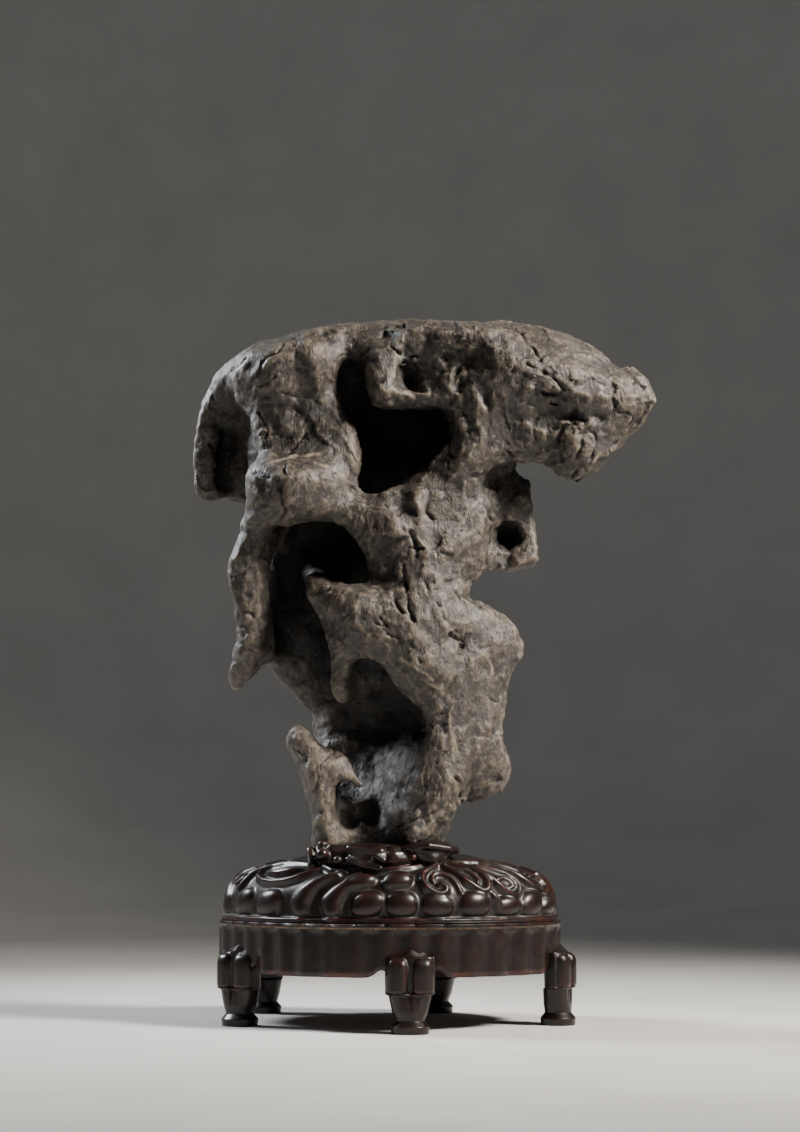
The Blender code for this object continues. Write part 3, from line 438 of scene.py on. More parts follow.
# Plan of the stand: the radius of the apron at some angles around its centre, in degrees from +X.
PLAN = [(-81, 106), (-46, 113), (-12, 122), (28, 115), (68, 98), (102, 108), (136, 126), (164, 121),
        (182, 115), (200, 106), (240, 102)]
# Where each leg stands around the centre, and the way its front faces, both in degrees from +X.
LEGS = {
    "leg_front": (-81, -90),
    "leg_right": (-13, -20),
    "leg_back_right": (68, 72),
    "leg_back_left": (136, 136),
    "leg_left": (200, 232),
}
LOBES = 34                        # flutes around the apron
COLUMNS_PER_LOBE = 24             # points of the apron's and the dome's sections on each flute

APRON_BOTTOM = 35.5
APRON_TOP = 70.0
APRON_WALL = 11.0
APRON_SWELL = 0.6                 # how far the apron's crowns stand out of its outline
APRON_TUCK, TUCK_SHARE = 0.9, 0.05  # how far its bottom edge is drawn in, and over what share of its height
# The apron's sections, as shares of its height, and then the double line under the dome, as drops below the
# apron's top and insets from its crowns.
APRON_ROWS = (0.0, 0.02, 0.05, *np.linspace(0.1, 0.9, 20), 0.96, 1.0)
APRON_RIM = [(3.4, 0.0), (3.0, 0.7), (2.4, 0.7), (2.0, 0.0), (0.5, 0.0), (0.0, 0.5)]
FLUTE_DEPTH = 2.2
RIM_HEIGHT = 6.0                  # the flutes fade out over this height below the top
ARCH_RISE = 5.0                   # the apron's bottom edge rises beside each leg
ARCH_PLACE = 18.5                 # from the middle of a leg, along the outline
ARCH_WIDTH = 5.5

LEG_HEIGHT = 54.5
LEG_INSET = 0.5                   # from the apron's outline to the middle of a leg
LEG_COLUMNS, LEG_ROWS = 140, 80   # points of a leg's section, and sections of a leg
LEG_STEPS = 3000                  # steps along a section, from which its columns are taken
LEG_SOFTENING = 1
FRONT_STEEPNESS = 1.8             # how soon a leg's carving reaches its full depth around the front
HEAD_BOTTOM = 25.5
CUP_BOTTOM = 9.0
# Sections of a leg from the floor up: height, half width, half depth, squareness and shift to the front.
LEG_SECTIONS = [(0.0, 12.3, 11.6, 2.1, 0.0), (4.8, 12.8, 12.0, 2.1, 0.0), (8.4, 9.4, 9.0, 2.1, 0.0),
                (14.0, 11.8, 9.4, 2.3, 0.0), (HEAD_BOTTOM - 1.2, 14.0, 9.0, 2.8, 0.0),
                (HEAD_BOTTOM, 16.2, 9.2, 3.4, 2.0), (44.0, 16.4, 9.4, 3.4, 2.0),
                (LEG_HEIGHT - 3.5, 15.9, 8.4, 3.2, 1.6), (LEG_HEIGHT, 12.5, 5.6, 2.6, 0.4)]
# A lobe of the head: its middle, half width, where its top starts to round off, and the height of that.
HEAD_LOBE = (8.6, 7.0, 37.0, 13.4)
LOBE_FOOT = (2.0, 2.6)            # where its foot starts, over the head's bottom, and its height
LOBE_POWERS = (3, 2.6, 2, 0.45)   # how round it is across, at its top, at its foot, and to its front
HEAD_PLATE = 4.0                  # how far the head's backing plate lies behind the lobes
HEAD_POINT = (46.0, 3.2, 3.6)     # the plate's point: where it starts, its shoulders' drop, half width
CUP_GROOVE = (1.6, 3, 1.3)        # the groove under the head: depth, power that it grows with, half width
CUP_FLUTES = (0.35, 9)            # the fine flutes beside it: depth, and radians of their wave to each side

DOME_BOTTOM = 70.4
DOME_TOP = 119.0
DOME_INSET = 1.5                  # from the apron's outline to the dome's
DOME_POWER = 3.3                  # 2 would be an ellipse, and more is squarer at the shoulder
DOME_STEPS = 1500                 # steps along the dome's profile
DOME_ROWS = (0.8, 64.0, 3.0)      # distance between its rows, how far up that holds, the distance beyond

# Lumps, beads and folds of the collar that holds the foot of the rock, as balls like the rock's.
COLLAR = {
    "ring": [(-52, 112, -28, 12), (-46, 112, 12, 12), (-14, 112, 48, 12), (22, 112, 20, 12),
             (24, 112, -26, 11), (-6, 112, -44, 10)],
    "bead": [(-54, 115.5, -42, 4.6)],
    "leaf": [(-34, 119, -48, 4), (-14, 117, -56, 4), (-24, 110, -54, 6)],
    "lip": [(10, 119, -46, 5.5), (30, 119, -38, 5.5), (32, 119, -10, 5.5), (20, 112, -42, 8)],
    "top bead": [(-54, 122.0, -36, 3.4), (-52, 122.0, -34, 3.4)],
    "small bead": [(-43, 111.5, -50, 3.4)],
    "block": [(-62, 118, -34, 3.2), (-61, 108, -40, 3.2)],
    "flange": [(-32, 121.5, -44, 1.6), (-22, 121.5, -52, 1.6), (-12, 120.5, -54, 1.6),
               (-14, 116, -50, 2.5)],
    "flange fold": [(-27, 117.5, -54, 1.6), (-17, 114.5, -60, 1.8), (-11, 111, -60, 1.8),
                    (-10, 119, -54, 1.6)],
    "flange root": [(-36, 112, -52, 2.4), (-24, 108, -60, 2.4), (-14, 106, -62, 2.4)],
    "lip edge": [(4, 119.6, -48, 2.6), (20, 121.4, -50, 2.6), (34, 119.4, -42, 2.6)],
    "lip side": [(34, 119.4, -42, 2.6), (39, 118.4, -26, 2.6), (36, 118.4, -8, 2.6)],
    "lip bead": [(9, 113.5, -56, 2.8)],
    "back roll": [(-44, 119, 18, 5), (-14, 120, 44, 5), (20, 120, 22, 5)],
}
COLLAR_VOXEL = 0.9 * MM
COLLAR_SOFTENING = 3
SOCKET_TRIANGLES = 60000
SOCKET_GAP = 0.8 * MM             # between the stone and its socket

# The dome's carving is laid out on its surface: s runs round the stand from the front, towards +X, on a
# circle of NOMINAL_RADIUS, and v runs from the rim up and inwards. A pebble is (s, v, half width, half
# height, lean): its top leans that far along s. A band is a row of points (s, v, half width).
NOMINAL_RADIUS = 110.0
PEBBLES = [(12, 13, 12, 10, 0), (38, 12, 12, 9, 0), (67, 13, 12, 10, 1), (94, 11, 12, 8, 2),
           (118, 13, 12, 10.5, 4), (-13, 13, 12.5, 10, 2), (-104, 13.5, 14, 10.5, 3), (-140, 14, 12, 11, 3),
           (143, 12, 12, 8.5, 4),
           (-20, 31, 12.5, 7.5, 4), (10, 33.5, 12, 9, 2), (82, 16, 4, 8, -3)]
BANDS = {
    "left drop": [(-68, 9, 7), (-69, 15, 8.5), (-65, 22, 7.5), (-58, 29, 5.5), (-49, 34, 4),
                  (-40, 38, 2.5)],
    "middle drop": [(-41, 9, 7.5), (-42, 14, 8.5), (-37, 21, 7), (-31, 27, 5.5), (-27, 33, 4),
                    (-20, 39, 2.5)],
    "left oval": [(-62, 47, 2), (-69, 41, 2.6), (-78, 34, 3), (-90, 30.5, 3), (-105, 29.5, 3),
                  (-120, 31, 3),
                  (-134, 35, 3), (-141, 42, 2.6), (-138, 50, 2.4), (-124, 56, 2.2), (-104, 58, 2),
                  (-84, 57, 1.6)],
    "left oval heart": [(-120, 38, 2.4), (-106, 39, 4), (-94, 41, 3.6), (-82, 45, 2)],
    "left wave": [(-152, 22, 3), (-149, 32, 3), (-148, 42, 2.6), (-140, 54, 2.4), (-120, 64, 2)],
    "left sweep": [(-34, 42, 2), (-48, 43, 2.6), (-60, 50, 2.6), (-76, 60, 2.2), (-90, 68, 1.8)],
    "middle sweep": [(-14, 42, 2), (-2, 44, 2.6), (12, 46, 2.6), (24, 49, 2.2), (34, 54, 1.8)],
    "first scroll": [(56, 56, 2), (46, 50, 2.8), (37, 44, 3.2), (30, 38, 3.2), (28, 31, 3.2), (31, 25, 3.2),
                     (36, 21.5, 3), (41, 20.5, 3), (45, 22, 2.8), (46, 26, 2.6), (43, 28.5, 2.6),
                     (40, 27, 2.2)],
    "first scroll inside": [(37, 31, 1.8), (37, 36, 2), (41, 39.5, 2.2), (47, 39.5, 2.2), (52, 35, 2),
                            (55, 28, 1.8),
                            (57, 21, 1.4)],
    "second scroll": [(46, 57, 2), (52, 47, 3), (58, 38, 3.4), (63, 30, 3.4), (69, 24.5, 3.2), (75, 22, 3),
                      (79, 25, 3), (81, 31, 2.8), (80, 38, 2.8), (76, 45, 2.6), (68, 52, 2.4), (58, 59, 2)],
    "second scroll inside": [(63, 47, 1.6), (69, 44, 2), (73, 39, 2), (74, 32, 1.8), (71, 28, 1.4)],
    "third scroll": [(72, 56, 2), (79, 45, 2.8), (84, 36, 3.2), (88, 28, 3.2), (93, 22, 3), (99, 18.5, 3),
                     (105, 20, 2.8), (109, 26, 2.8), (108, 33, 2.6), (104, 39, 2.6), (96, 46, 2.4),
                     (86, 53, 2)],
    "third scroll inside": [(92, 33, 1.6), (98, 35, 2), (103, 32, 2), (104, 26.5, 1.8), (100, 25, 1.4)],
    "fourth scroll": [(90, 62, 2), (103, 52, 2.6), (112, 42, 3), (117, 33, 3), (123, 26, 3), (131, 21, 3),
                      (140, 20, 2.8), (146, 24, 2.8), (147, 31, 2.6), (142, 37, 2.2), (135, 37, 1.8)],
    "high sweep": [(64, 66, 1.8), (82, 60, 2.4), (100, 58, 2.4), (116, 52, 2.2), (128, 44, 2),
                   (140, 44, 1.6)],
    "higher sweep": [(84, 72, 1.8), (104, 68, 2.2), (124, 62, 2), (142, 54, 1.8)],
    "side drop": [(168, 9, 7.5), (168, 15, 8.5), (164, 23, 7), (158, 31, 5), (152, 38, 3)],
    "side curl": [(178, 48, 2), (172, 38, 2.6), (176, 29, 2.8), (184, 27, 2.6), (188, 33, 2.4),
                  (184, 38, 2)],
}
BAND_RISE, BAND_FULL = 4.4, 3.2   # how far bands stand over the ground, from this half width up
PEBBLE_RISE, PEBBLE_POWER = 5.2, 2.4  # the same of pebbles, and how square they are
CARVING_WEAR = 3                  # rounds of blur that wear its edges down
DOME_GROUND = 4.6                 # how far the ground lies under the dome's outline
LEDGE_TOP, LEDGE_STEP = 3.6, 0.8  # the smooth ledge under the pebbles ends here, over this distance
LEDGE_GROOVE = (1.6, 0.5, 0.7)    # place, half width and depth of the groove in the ledge
CROWN_START, CROWN_SPAN, CROWN_RISE = 70, 20, 0.6  # where the ground rises again, and by what share

# ---------------------------------------------------------------- looks
# For the stone and for the wood: how far rays look for the sky, the triangles of the plain copy that they
# are sent from, and how far a point has to stand out of its surroundings to count as sharp.
ROCK_REACH, ROCK_PROXY, ROCK_RELIEF = 90.0, 26000, 1.9
STAND_REACH, STAND_PROXY, WOOD_RELIEF = 30.0, 12000, 1.0
STONE_GREY = (0.052, 0.048, 0.044, 1.0)
STONE_TAUPE = (0.029, 0.024, 0.020, 1.0)
STONE_WARM = (0.080, 0.064, 0.049, 1.0)
STONE_BLUE = (0.051, 0.055, 0.062, 1.0)
STONE_TAN = (0.088, 0.051, 0.027, 1.0)
STONE_EDGE = (0.185, 0.147, 0.107, 1.0)
STONE_VEIN = (0.240, 0.195, 0.145, 1.0)
# Painted shade: the near black that the stone's concave creases and its listed cracks are darkened towards.
STONE_PAINTED_CREASE_SHADE = (0.014, 0.011, 0.009, 1.0)
# Painted shade: the near black that the stone's hollows are darkened towards, as far as they are closed to
# the sky.
STONE_PAINTED_HOLLOW_SHADE = (0.006, 0.005, 0.004, 1.0)
WOOD_DARK = (0.0055, 0.0035, 0.003, 1.0)
WOOD_BROWN = (0.011, 0.005, 0.0035, 1.0)
# The red-brown of the wood's worn crowns, which also stands in for painted glints.
WOOD_WORN_RED_AND_GLINT = (0.065, 0.014, 0.008, 1.0)
WOOD_DUST = (0.060, 0.055, 0.050, 1.0)
# Painted shade: the near black that the wood's hollows are darkened towards.
WOOD_PAINTED_HOLLOW_SHADE = (0.003, 0.002, 0.002, 1.0)
WOOD_WORN = (0.300, 0.180, 0.085, 1.0)
WORN_LINE = (66.4, 67.1, 68.0)    # heights where the worn line on the apron starts, is full and ends
FLOOR_LOW = (0.62, 0.61, 0.59, 1.0)
FLOOR_HIGH = (0.70, 0.69, 0.67, 1.0)
FLOOR_ROUGHNESS = 0.75
WOOD_GLOSS = {"Specular IOR Level": 0.33, "Coat Weight": 0.16, "Coat Roughness": 0.24}
# Soft noise in the stone and in the wood: size of its lumps in millimetres, detail, roughness and warp.
STONE_NOISES = {
    "broad": (46, 4.0, 0.6, 0.0),
    "patches": (17, 5.0, 0.62, 0.6),
    "plates": (30, 3.0, 0.6, 1.2),
    "stains": (24, 4.0, 0.65, 0.8),
    "specks": (3.2, 5.0, 0.7, 0.0),
    "vein breaks": (6, 3.0, 0.55, 0.0),
    "gloss": (9, 3.0, 0.55, 0.0),
    "knobbles": (7.5, 3.0, 0.6, 1.0),
    "wrinkles": (3.4, 4.0, 0.6, 1.6),
    "grit": (0.9, 3.0, 0.7, 0.0),
}
STONE_CELLS = 3.2                 # size of the cracked cells in the stone's skin
WRINKLE_STRETCH, WRINKLE_TURN = (1.0, 1.0, 0.45), (0.3, 0.5, 0.2)
WOOD_NOISES = {
    "grain": (1.2, 5.0, 0.7, 0.5),
    "blotches": (16, 3.0, 0.6, 0.0),
    "line wear": (4, 4.0, 0.65, 0.0),
    "dust": (5, 4.0, 0.65, 0.0),
    "smears": (11, 4.0, 0.6, 0.4),
    "waves": (8, 3.0, 0.5, 0.0),
    "scratches": (0.8, 2.0, 0.5, 0.0),
}
GRAIN_SCALE = (1.0, 1.0, 0.08)
SCRATCH_STRETCH, SCRATCH_TURN = (0.05, 1.0, 0.7), (0.2, 0.1, 0.6)
FLOOR_NOISE = (160, 4.0, 0.55, 0.0)

# ---------------------------------------------------------------- the studio
IMAGE_HEIGHT = 1132
FOCAL_PIXELS = 2100               # the lens, as a distance in the image's pixels
SENSOR_WIDTH = 36.0
# The floor and the backdrop are one round bowl: its distance from the middle and its height.
BOWL = [(600, 0), (1700, 0), (2100, 40), (2400, 170), (2600, 420), (2700, 800), (2720, 1400), (2720, 2600)]
BOWL_SIDES = 128
LAMP_TARGET = (0.0, 0.0, 0.26)
# Lamps: place and size in metres, power in watts, and tint.
LAMPS = {
    "key": ((1.05, -0.55, 1.1), 0.35, 11.0, (1.0, 0.93, 0.84)),
    "rim": ((-1.05, 0.45, 0.95), 0.4, 5.0, (0.92, 0.95, 1.0)),
}
LAMP_SPREAD = 75                  # degrees
WORLD_TINT = (0.92, 0.95, 1.0, 1.0)
WORLD_STRENGTH = 0.14


# ---------------------------------------------------------------- meshes
def seen(x, z, depth):
    """The point at a depth that shows at (x, z) on the plane y = 0 from the eye point."""
    stretch = (EYE_DISTANCE + depth) / EYE_DISTANCE
    return Vector((x * stretch, depth, EYE_HEIGHT + (z - EYE_HEIGHT) * stretch)) * MM


def front_view(points):
    """Where points in millimetres show on the plane y = 0 from the eye point, as columns x and z."""
    stretch = (EYE_DISTANCE + points[:, 1]) / EYE_DISTANCE
    return np.column_stack([points[:, 0] / stretch, EYE_HEIGHT + (points[:, 2] - EYE_HEIGHT) / stretch])


def new_object(name, mesh):
    """An object in the scene that shows the mesh."""
    obj = bpy.data.objects.new(name, mesh)
    bpy.context.scene.collection.objects.link(obj)
    return obj


def hull_of(balls):
    """A closed mesh around the balls of one lump."""
    hull = bmesh.new()
    for x, z, depth, radius in balls:
        ball = bmesh.new()
        bmesh.ops.create_icosphere(ball, subdivisions=2, radius=radius * MM)
        centre = seen(x, z, depth)
        for vert in ball.verts:
            hull.verts.new(vert.co + centre)
        ball.free()
    result = bmesh.ops.convex_hull(hull, input=hull.verts)
    inside = result["geom_interior"] + result["geom_unused"]
    spare = {v for v in inside if isinstance(v, bmesh.types.BMVert)}
    bmesh.ops.delete(hull, geom=list(spare), context="VERTS")
    return hull


def mass_of(name, groups, voxel):
    """One object that holds the hulls of all the groups, joined by a fine remesh."""
    mass = bmesh.new()
    for balls in groups.values():
        hull = hull_of(balls)
        piece = bpy.data.meshes.new(name)
        hull.to_mesh(piece)
        hull.free()
        mass.from_mesh(piece)
        bpy.data.meshes.remove(piece)
    mesh = bpy.data.meshes.new(name)
    mass.to_mesh(mesh)
    mass.free()
    obj = new_object(name, mesh)
    remesh(obj, voxel)
    return obj


def remesh(obj, voxel):
    """Gives the object one even skin."""
    modifier = obj.modifiers.new("even skin", "REMESH")
    modifier.mode = "VOXEL"
    modifier.voxel_size = voxel


def fill_creases(obj, radius, voxel):
    """Rounds the inside corners: swells the object, joins it again, and shrinks it back."""
    for strength in (radius, -radius):
        swell = obj.modifiers.new("swell", "DISPLACE")
        swell.mid_level = 0.0
        swell.strength = strength
        remesh(obj, voxel)


def boolean(obj, operation, other):
    """Adds the other solid to the object, or takes it away."""
    modifier = obj.modifiers.new(operation.lower(), "BOOLEAN")
    modifier.operation = operation
    modifier.solver = "MANIFOLD"
    modifier.object = other


def roughen(obj, size, rise):
    """Raises and lowers the surface with soft noise of one size."""
    texture = bpy.data.textures.new(f"{obj.name} lumps", "CLOUDS")
    texture.noise_scale = size
    texture.noise_depth = 2
    modifier = obj.modifiers.new("lumps", "DISPLACE")
    modifier.texture = texture
    modifier.texture_coords = "LOCAL"
    modifier.strength = rise
    modifier.mid_level = 0.5


def soften(obj, times):
    """Smooths the object a little."""
    modifier = obj.modifiers.new("soften", "SMOOTH")
    modifier.factor = 0.5
    modifier.iterations = times


def thin_out(obj, triangles, group=None):
    """Brings the object down to a number of triangles, and keeps more of them where the group is strong."""
    reduce = obj.modifiers.new("fewer faces", "DECIMATE")
    reduce.ratio = min(1.0, triangles / len(obj.data.loop_triangles))
    reduce.use_collapse_triangulate = True
    if group:
        reduce.vertex_group = group
        reduce.vertex_group_factor = FRONT_FACTOR
        reduce.invert_vertex_group = True


def settle(obj):
    """Turns what the modifiers make into the object's own mesh."""
    bpy.context.view_layer.update()
    made = bpy.data.meshes.new_from_object(obj.evaluated_get(bpy.context.evaluated_depsgraph_get()))
    obj.modifiers.clear()
    obj.data = made
    made.calc_loop_triangles()


def discard(*objects):
    """Takes helper solids out of the scene."""
    for obj in objects:
        bpy.data.objects.remove(obj)


def points_of(mesh):
    """The mesh's points, in millimetres."""
    flat = np.empty(len(mesh.vertices) * 3, np.float32)
    mesh.vertices.foreach_get("co", flat)
    return flat.reshape(-1, 3).astype(float) / MM


def normals_of(mesh):
    """The direction that the surface faces at each of the mesh's points."""
    flat = np.empty(len(mesh.vertices) * 3, np.float32)
    mesh.vertex_normals.foreach_get("vector", flat)
    return flat.reshape(-1, 3).astype(float)


def move_points(mesh, points):
    """Puts the mesh's points at places in millimetres."""
    mesh.vertices.foreach_set("co", (points * MM).astype(np.float32).ravel())
    mesh.update()


def blur(mesh, values, times):
    """The values of the points, each mixed with its neighbours' again and again."""
    edges = np.empty(len(mesh.edges) * 2, np.int32)
    mesh.edges.foreach_get("vertices", edges)
    first, second = edges.reshape(-1, 2).T
    count = len(mesh.vertices)
    share = np.bincount(first, minlength=count) + np.bincount(second, minlength=count)
    values = values.reshape(count, -1)
    for _ in range(times):
        total = np.column_stack([
            np.bincount(first, column[second], count) + np.bincount(second, column[first], count)
            for column in values.T])
        values = (values + total / np.maximum(share, 1)[:, None]) / 2
    return values.squeeze()


def noise(points, size, seed):
    """Smooth noise from -1 to 1 with lumps of one size in millimetres."""
    scaled = points / size + seed * NOISE_STEP
    cell = np.floor(scaled).astype(np.int64)
    t = scaled - cell
    t = t * t * (3 - 2 * t)
    total = np.zeros(len(points))
    for corner in itertools.product((0, 1), repeat=points.shape[1]):
        at = cell + corner
        key = (at * NOISE_PRIMES[:points.shape[1]]).sum(axis=1) & NOISE_MASK
        for shift, factor in NOISE_FACTORS:
            key = (key ^ (key >> shift)) * factor & NOISE_MASK
        key = key ^ (key >> NOISE_LAST_SHIFT)
        total += (key / (NOISE_MASK / 2) - 1) * np.where(corner, t, 1 - t).prod(axis=1)
    return total


def noises(points, size, seeds):
    """Columns of smooth noise, one for each seed."""
    return np.column_stack([noise(points, size, seed) for seed in seeds])


def creases(points, size, width, seed):
    """1 along thin meandering lines a size apart, and 0 between them."""
    return np.exp(-(noise(points, size, seed) / width) ** 2)


# ---------------------------------------------------------------- the stone's surface
def line_distance(flat, line):
    """How far each place in the front view is from a line of points."""
    best = np.full(len(flat), np.inf)
    for start, end in zip(line, line[1:]):
        start, along = np.array(start, float), np.subtract(end, start).astype(float)
        share = np.clip((flat - start) @ along / (along @ along), 0, 1)
        best = np.minimum(best, np.hypot(*(flat - start - share[:, None] * along).T))
    return best


def line_share(flat, line, half_width):
    """1 on a line of points, about a third at its half width, and nothing well beside it."""
    share = np.zeros(len(flat))
    low = np.min(line, axis=0) - LINE_MARGIN * half_width
    high = np.max(line, axis=0) + LINE_MARGIN * half_width
    near = np.flatnonzero(((flat > low) & (flat < high)).all(axis=1))
    share[near] = np.exp(-(line_distance(flat[near], line) / half_width) ** 2)
    return share


def oval_share(flat, x, z, half_width, half_height, tilt):
    """1 inside a tilted oval of the front view, and 0 well outside it."""
    turn = math.radians(tilt)
    across = (flat[:, 0] - x) * math.cos(turn) + (flat[:, 1] - z) * math.sin(turn)
    up = (flat[:, 1] - z) * math.cos(turn) - (flat[:, 0] - x) * math.sin(turn)
    away = np.hypot(across / half_width, up / half_height)
    return 1 / (1 + np.exp((away - 1) * OVAL_SHARPNESS))


def grain_height(flat, points, direction, pitch):
    """Fine parallel grooves that run in a direction of the front view, from -1 to 1."""
    turn = math.radians(direction)
    along = flat[:, 0] * math.cos(turn) + flat[:, 1] * math.sin(turn)
    across = flat[:, 1] * math.cos(turn) - flat[:, 0] * math.sin(turn)
    reach, length, seed = GRAIN_SWAY
    across = across + reach * pitch * noise(points, length * pitch, seed)
    drawn = np.column_stack([along / GRAIN_STRETCH, across])
    return sum(share * noise(drawn, size * pitch, seed) for share, size, seed in GRAIN_LAYERS)


def eye_share(mesh, points, normals):
    """1 at each point that shows from the eye point and 0 at the others, softened."""
    tree = BVHTree.FromPolygons([Vector(p) for p in points], [t.vertices for t in mesh.loop_triangles])
    rays = points - EYE_POINT
    far = np.linalg.norm(rays, axis=1)
    share = np.zeros(len(points))
    origin = Vector(EYE_POINT)
    for i in np.flatnonzero((rays * normals).sum(axis=1) < 0):
        hit = tree.ray_cast(origin, Vector(rays[i]), far[i] - EYE_SLACK)
        share[i] = hit[0] is None
    return blur(mesh, share, EYE_BLUR)


def sums_by_face(face, values):
    """The sum of the points' values over each of the broken faces that they belong to."""
    return np.column_stack([np.bincount(face, column) for column in values.T])


def break_faces(mesh, size, flatness, limit, seed):
    """Flattens the surface into irregular faces of about one size, with crisp edges, as on broken stone."""
    points, normals = points_of(mesh), normals_of(mesh)
    random = np.random.default_rng(seed)
    area = sum(triangle.area for triangle in mesh.loop_triangles) / MM ** 2
    chosen = random.choice(len(points), int(area / size ** 2), replace=False)
    warp = size * FACET_WARP * noises(points, size / 2, range(seed, seed + 3))
    finder = KDTree(len(chosen))
    for i, index in enumerate(chosen):
        finder.insert(points[index] + warp[index], i)
    finder.balance()
    face = np.array([finder.find(place)[1] for place in points + warp])
    facing = sums_by_face(face, normals)
    facing /= np.maximum(np.linalg.norm(facing, axis=1), TINY)[:, None]
    facing = facing[face]
    agree = np.clip((normals * facing).sum(axis=1) * AGREE_GAIN - AGREE_LOSS, 0, 1)
    members = np.maximum(sums_by_face(face, agree[:, None]), TINY)
    centre = sums_by_face(face, points * agree[:, None]) / members
    broken = np.clip(BROKEN_MIDDLE + front_view(points)[:, 0] / BROKEN_SLOPE, BROKEN_LEAST, 1)
    away = np.clip(((centre[face] - points) * facing).sum(axis=1), -limit, limit)
    move = facing * (away * agree * broken * flatness)[:, None]
    move_points(mesh, points + blur(mesh, move, 1))


def crack_and_vein(points, drawn):
    """The height that cracks, ridges and veins give each point, and how much it is in a crack or a vein."""
    height = np.zeros(len(points))
    vein = np.zeros(len(points))
    crack = np.zeros(len(points))
    size, seed, middle, swing, least = CRACK_GAPS
    whole = np.clip(middle + swing * noise(points, size, seed), least, 1)
    for half_width, depth, line in CRACKS.values():
        share = whole * line_share(drawn, line, CRACK_WIDTH * half_width)
        height -= CRACK_DEPTH * depth * share
        crack = np.maximum(crack, share)
    for half_width, rise, line in RIDGES.values():
        height += RIDGE_RISE * rise * whole * line_share(drawn, line, RIDGE_WIDTH * half_width)
    for half_width, rise, line in VEINS.values():
        share = line_share(drawn, line, half_width)
        height += rise * share
        vein = np.maximum(vein, share * whole)
    return height, crack, vein


def grooves(points, flat):
    """The height that the patches of fine grooves give each point."""
    height = np.zeros(len(points))
    for x, z, half_width, half_height, direction, pitch, depth in GRAIN.values():
        share = oval_share(flat, x, z, half_width, half_height, 0)
        near = np.flatnonzero(share > GRAIN_EDGE)
        height[near] += depth * share[near] * grain_height(flat[near], points[near], direction, pitch)
    return height


def weathering(points, height):
    """The height of each point after the weather has raised, creased and pitted it."""
    size, reach, seeds = SWIRL
    warped = points + reach * noises(points, size, seeds)
    for size, rise, seed in WEATHERING:
        height += rise * noise(warped, size, seed)
    for size, width, depth, seed in CREASES:
        height -= depth * creases(warped, size, width, seed)
    size, share, seed = PIT_FRAYING
    eaten = noise(warped, *PIT_PLACES) + share * noise(points, size, seed)
    return height - PIT_DEPTH * np.clip((eaten - PIT_START) / PIT_SPAN, 0, 1)


def detail_stone(mesh):
    """Carves the marks, the grooves and the weathering into the stone's mesh. Returns how much each
    point shows from the front, and its line: 0 in a crack, 1 in a pale vein, and half elsewhere."""
    for size, flatness, limit, seed in FACETS:
        break_faces(mesh, size, flatness, limit, seed)
    points, normals = points_of(mesh), normals_of(mesh)
    shown = eye_share(mesh, points, normals)
    flat = front_view(points)
    wander = sum(reach * noises(points, size, seeds) for size, reach, seeds in WANDERS)
    drawn = flat + wander
    height, crack, vein = crack_and_vein(points, drawn)
    push = np.zeros(len(points))
    for x, z, half_width, half_height, tilt, depth in OVALS.values():
        push += OVAL_DEPTH * depth * oval_share(drawn + wander, x, z, half_width, half_height, tilt)
    height = weathering(points, (height + GRAIN_DEPTH * grooves(points, flat)) * shown)
    inward = points - EYE_POINT
    inward /= np.linalg.norm(inward, axis=1)[:, None]
    move_points(mesh, points + normals * height[:, None] + inward * (push * shown)[:, None])
    return shown, 0.5 + 0.5 * (vein - crack * (1 - vein)) * shown


def weight_group(obj, name, weights):
    """A vertex group that holds the weights, in steps."""
    group = obj.vertex_groups.new(name=name)
    steps = np.round(weights * WEIGHT_STEPS).astype(int)
    for step in range(1, WEIGHT_STEPS + 1):
        group.add(np.flatnonzero(steps == step).tolist(), step / WEIGHT_STEPS, "REPLACE")


def openness(mesh, points, normals, reach):
    """How much of the sky each point sees within a reach in millimetres, from 0 in a deep hollow to 1."""
    tree = BVHTree.FromPolygons([Vector(p) for p in points], [t.vertices for t in mesh.loop_triangles])
    random = np.random.default_rng(SKY_SEED)
    rays = random.normal(size=(SKY_RAYS, 3))
    rays /= np.linalg.norm(rays, axis=1)[:, None]
    rays = [Vector(ray) for ray in rays]
    share = np.zeros(len(points))
    for i, (point, normal) in enumerate(zip(points, normals)):
        normal = Vector(normal)
        start = Vector(point) + normal * SKY_START
        free = total = 0.0
        for ray in rays:
            lean = ray.dot(normal)
            if lean < 0:
                ray, lean = -ray, -lean
            hit = tree.ray_cast(start, ray, reach)
            total += lean
            free += lean * (1.0 if hit[0] is None else hit[3] / reach * SKY_HIT)
        share[i] = free / total
    return share


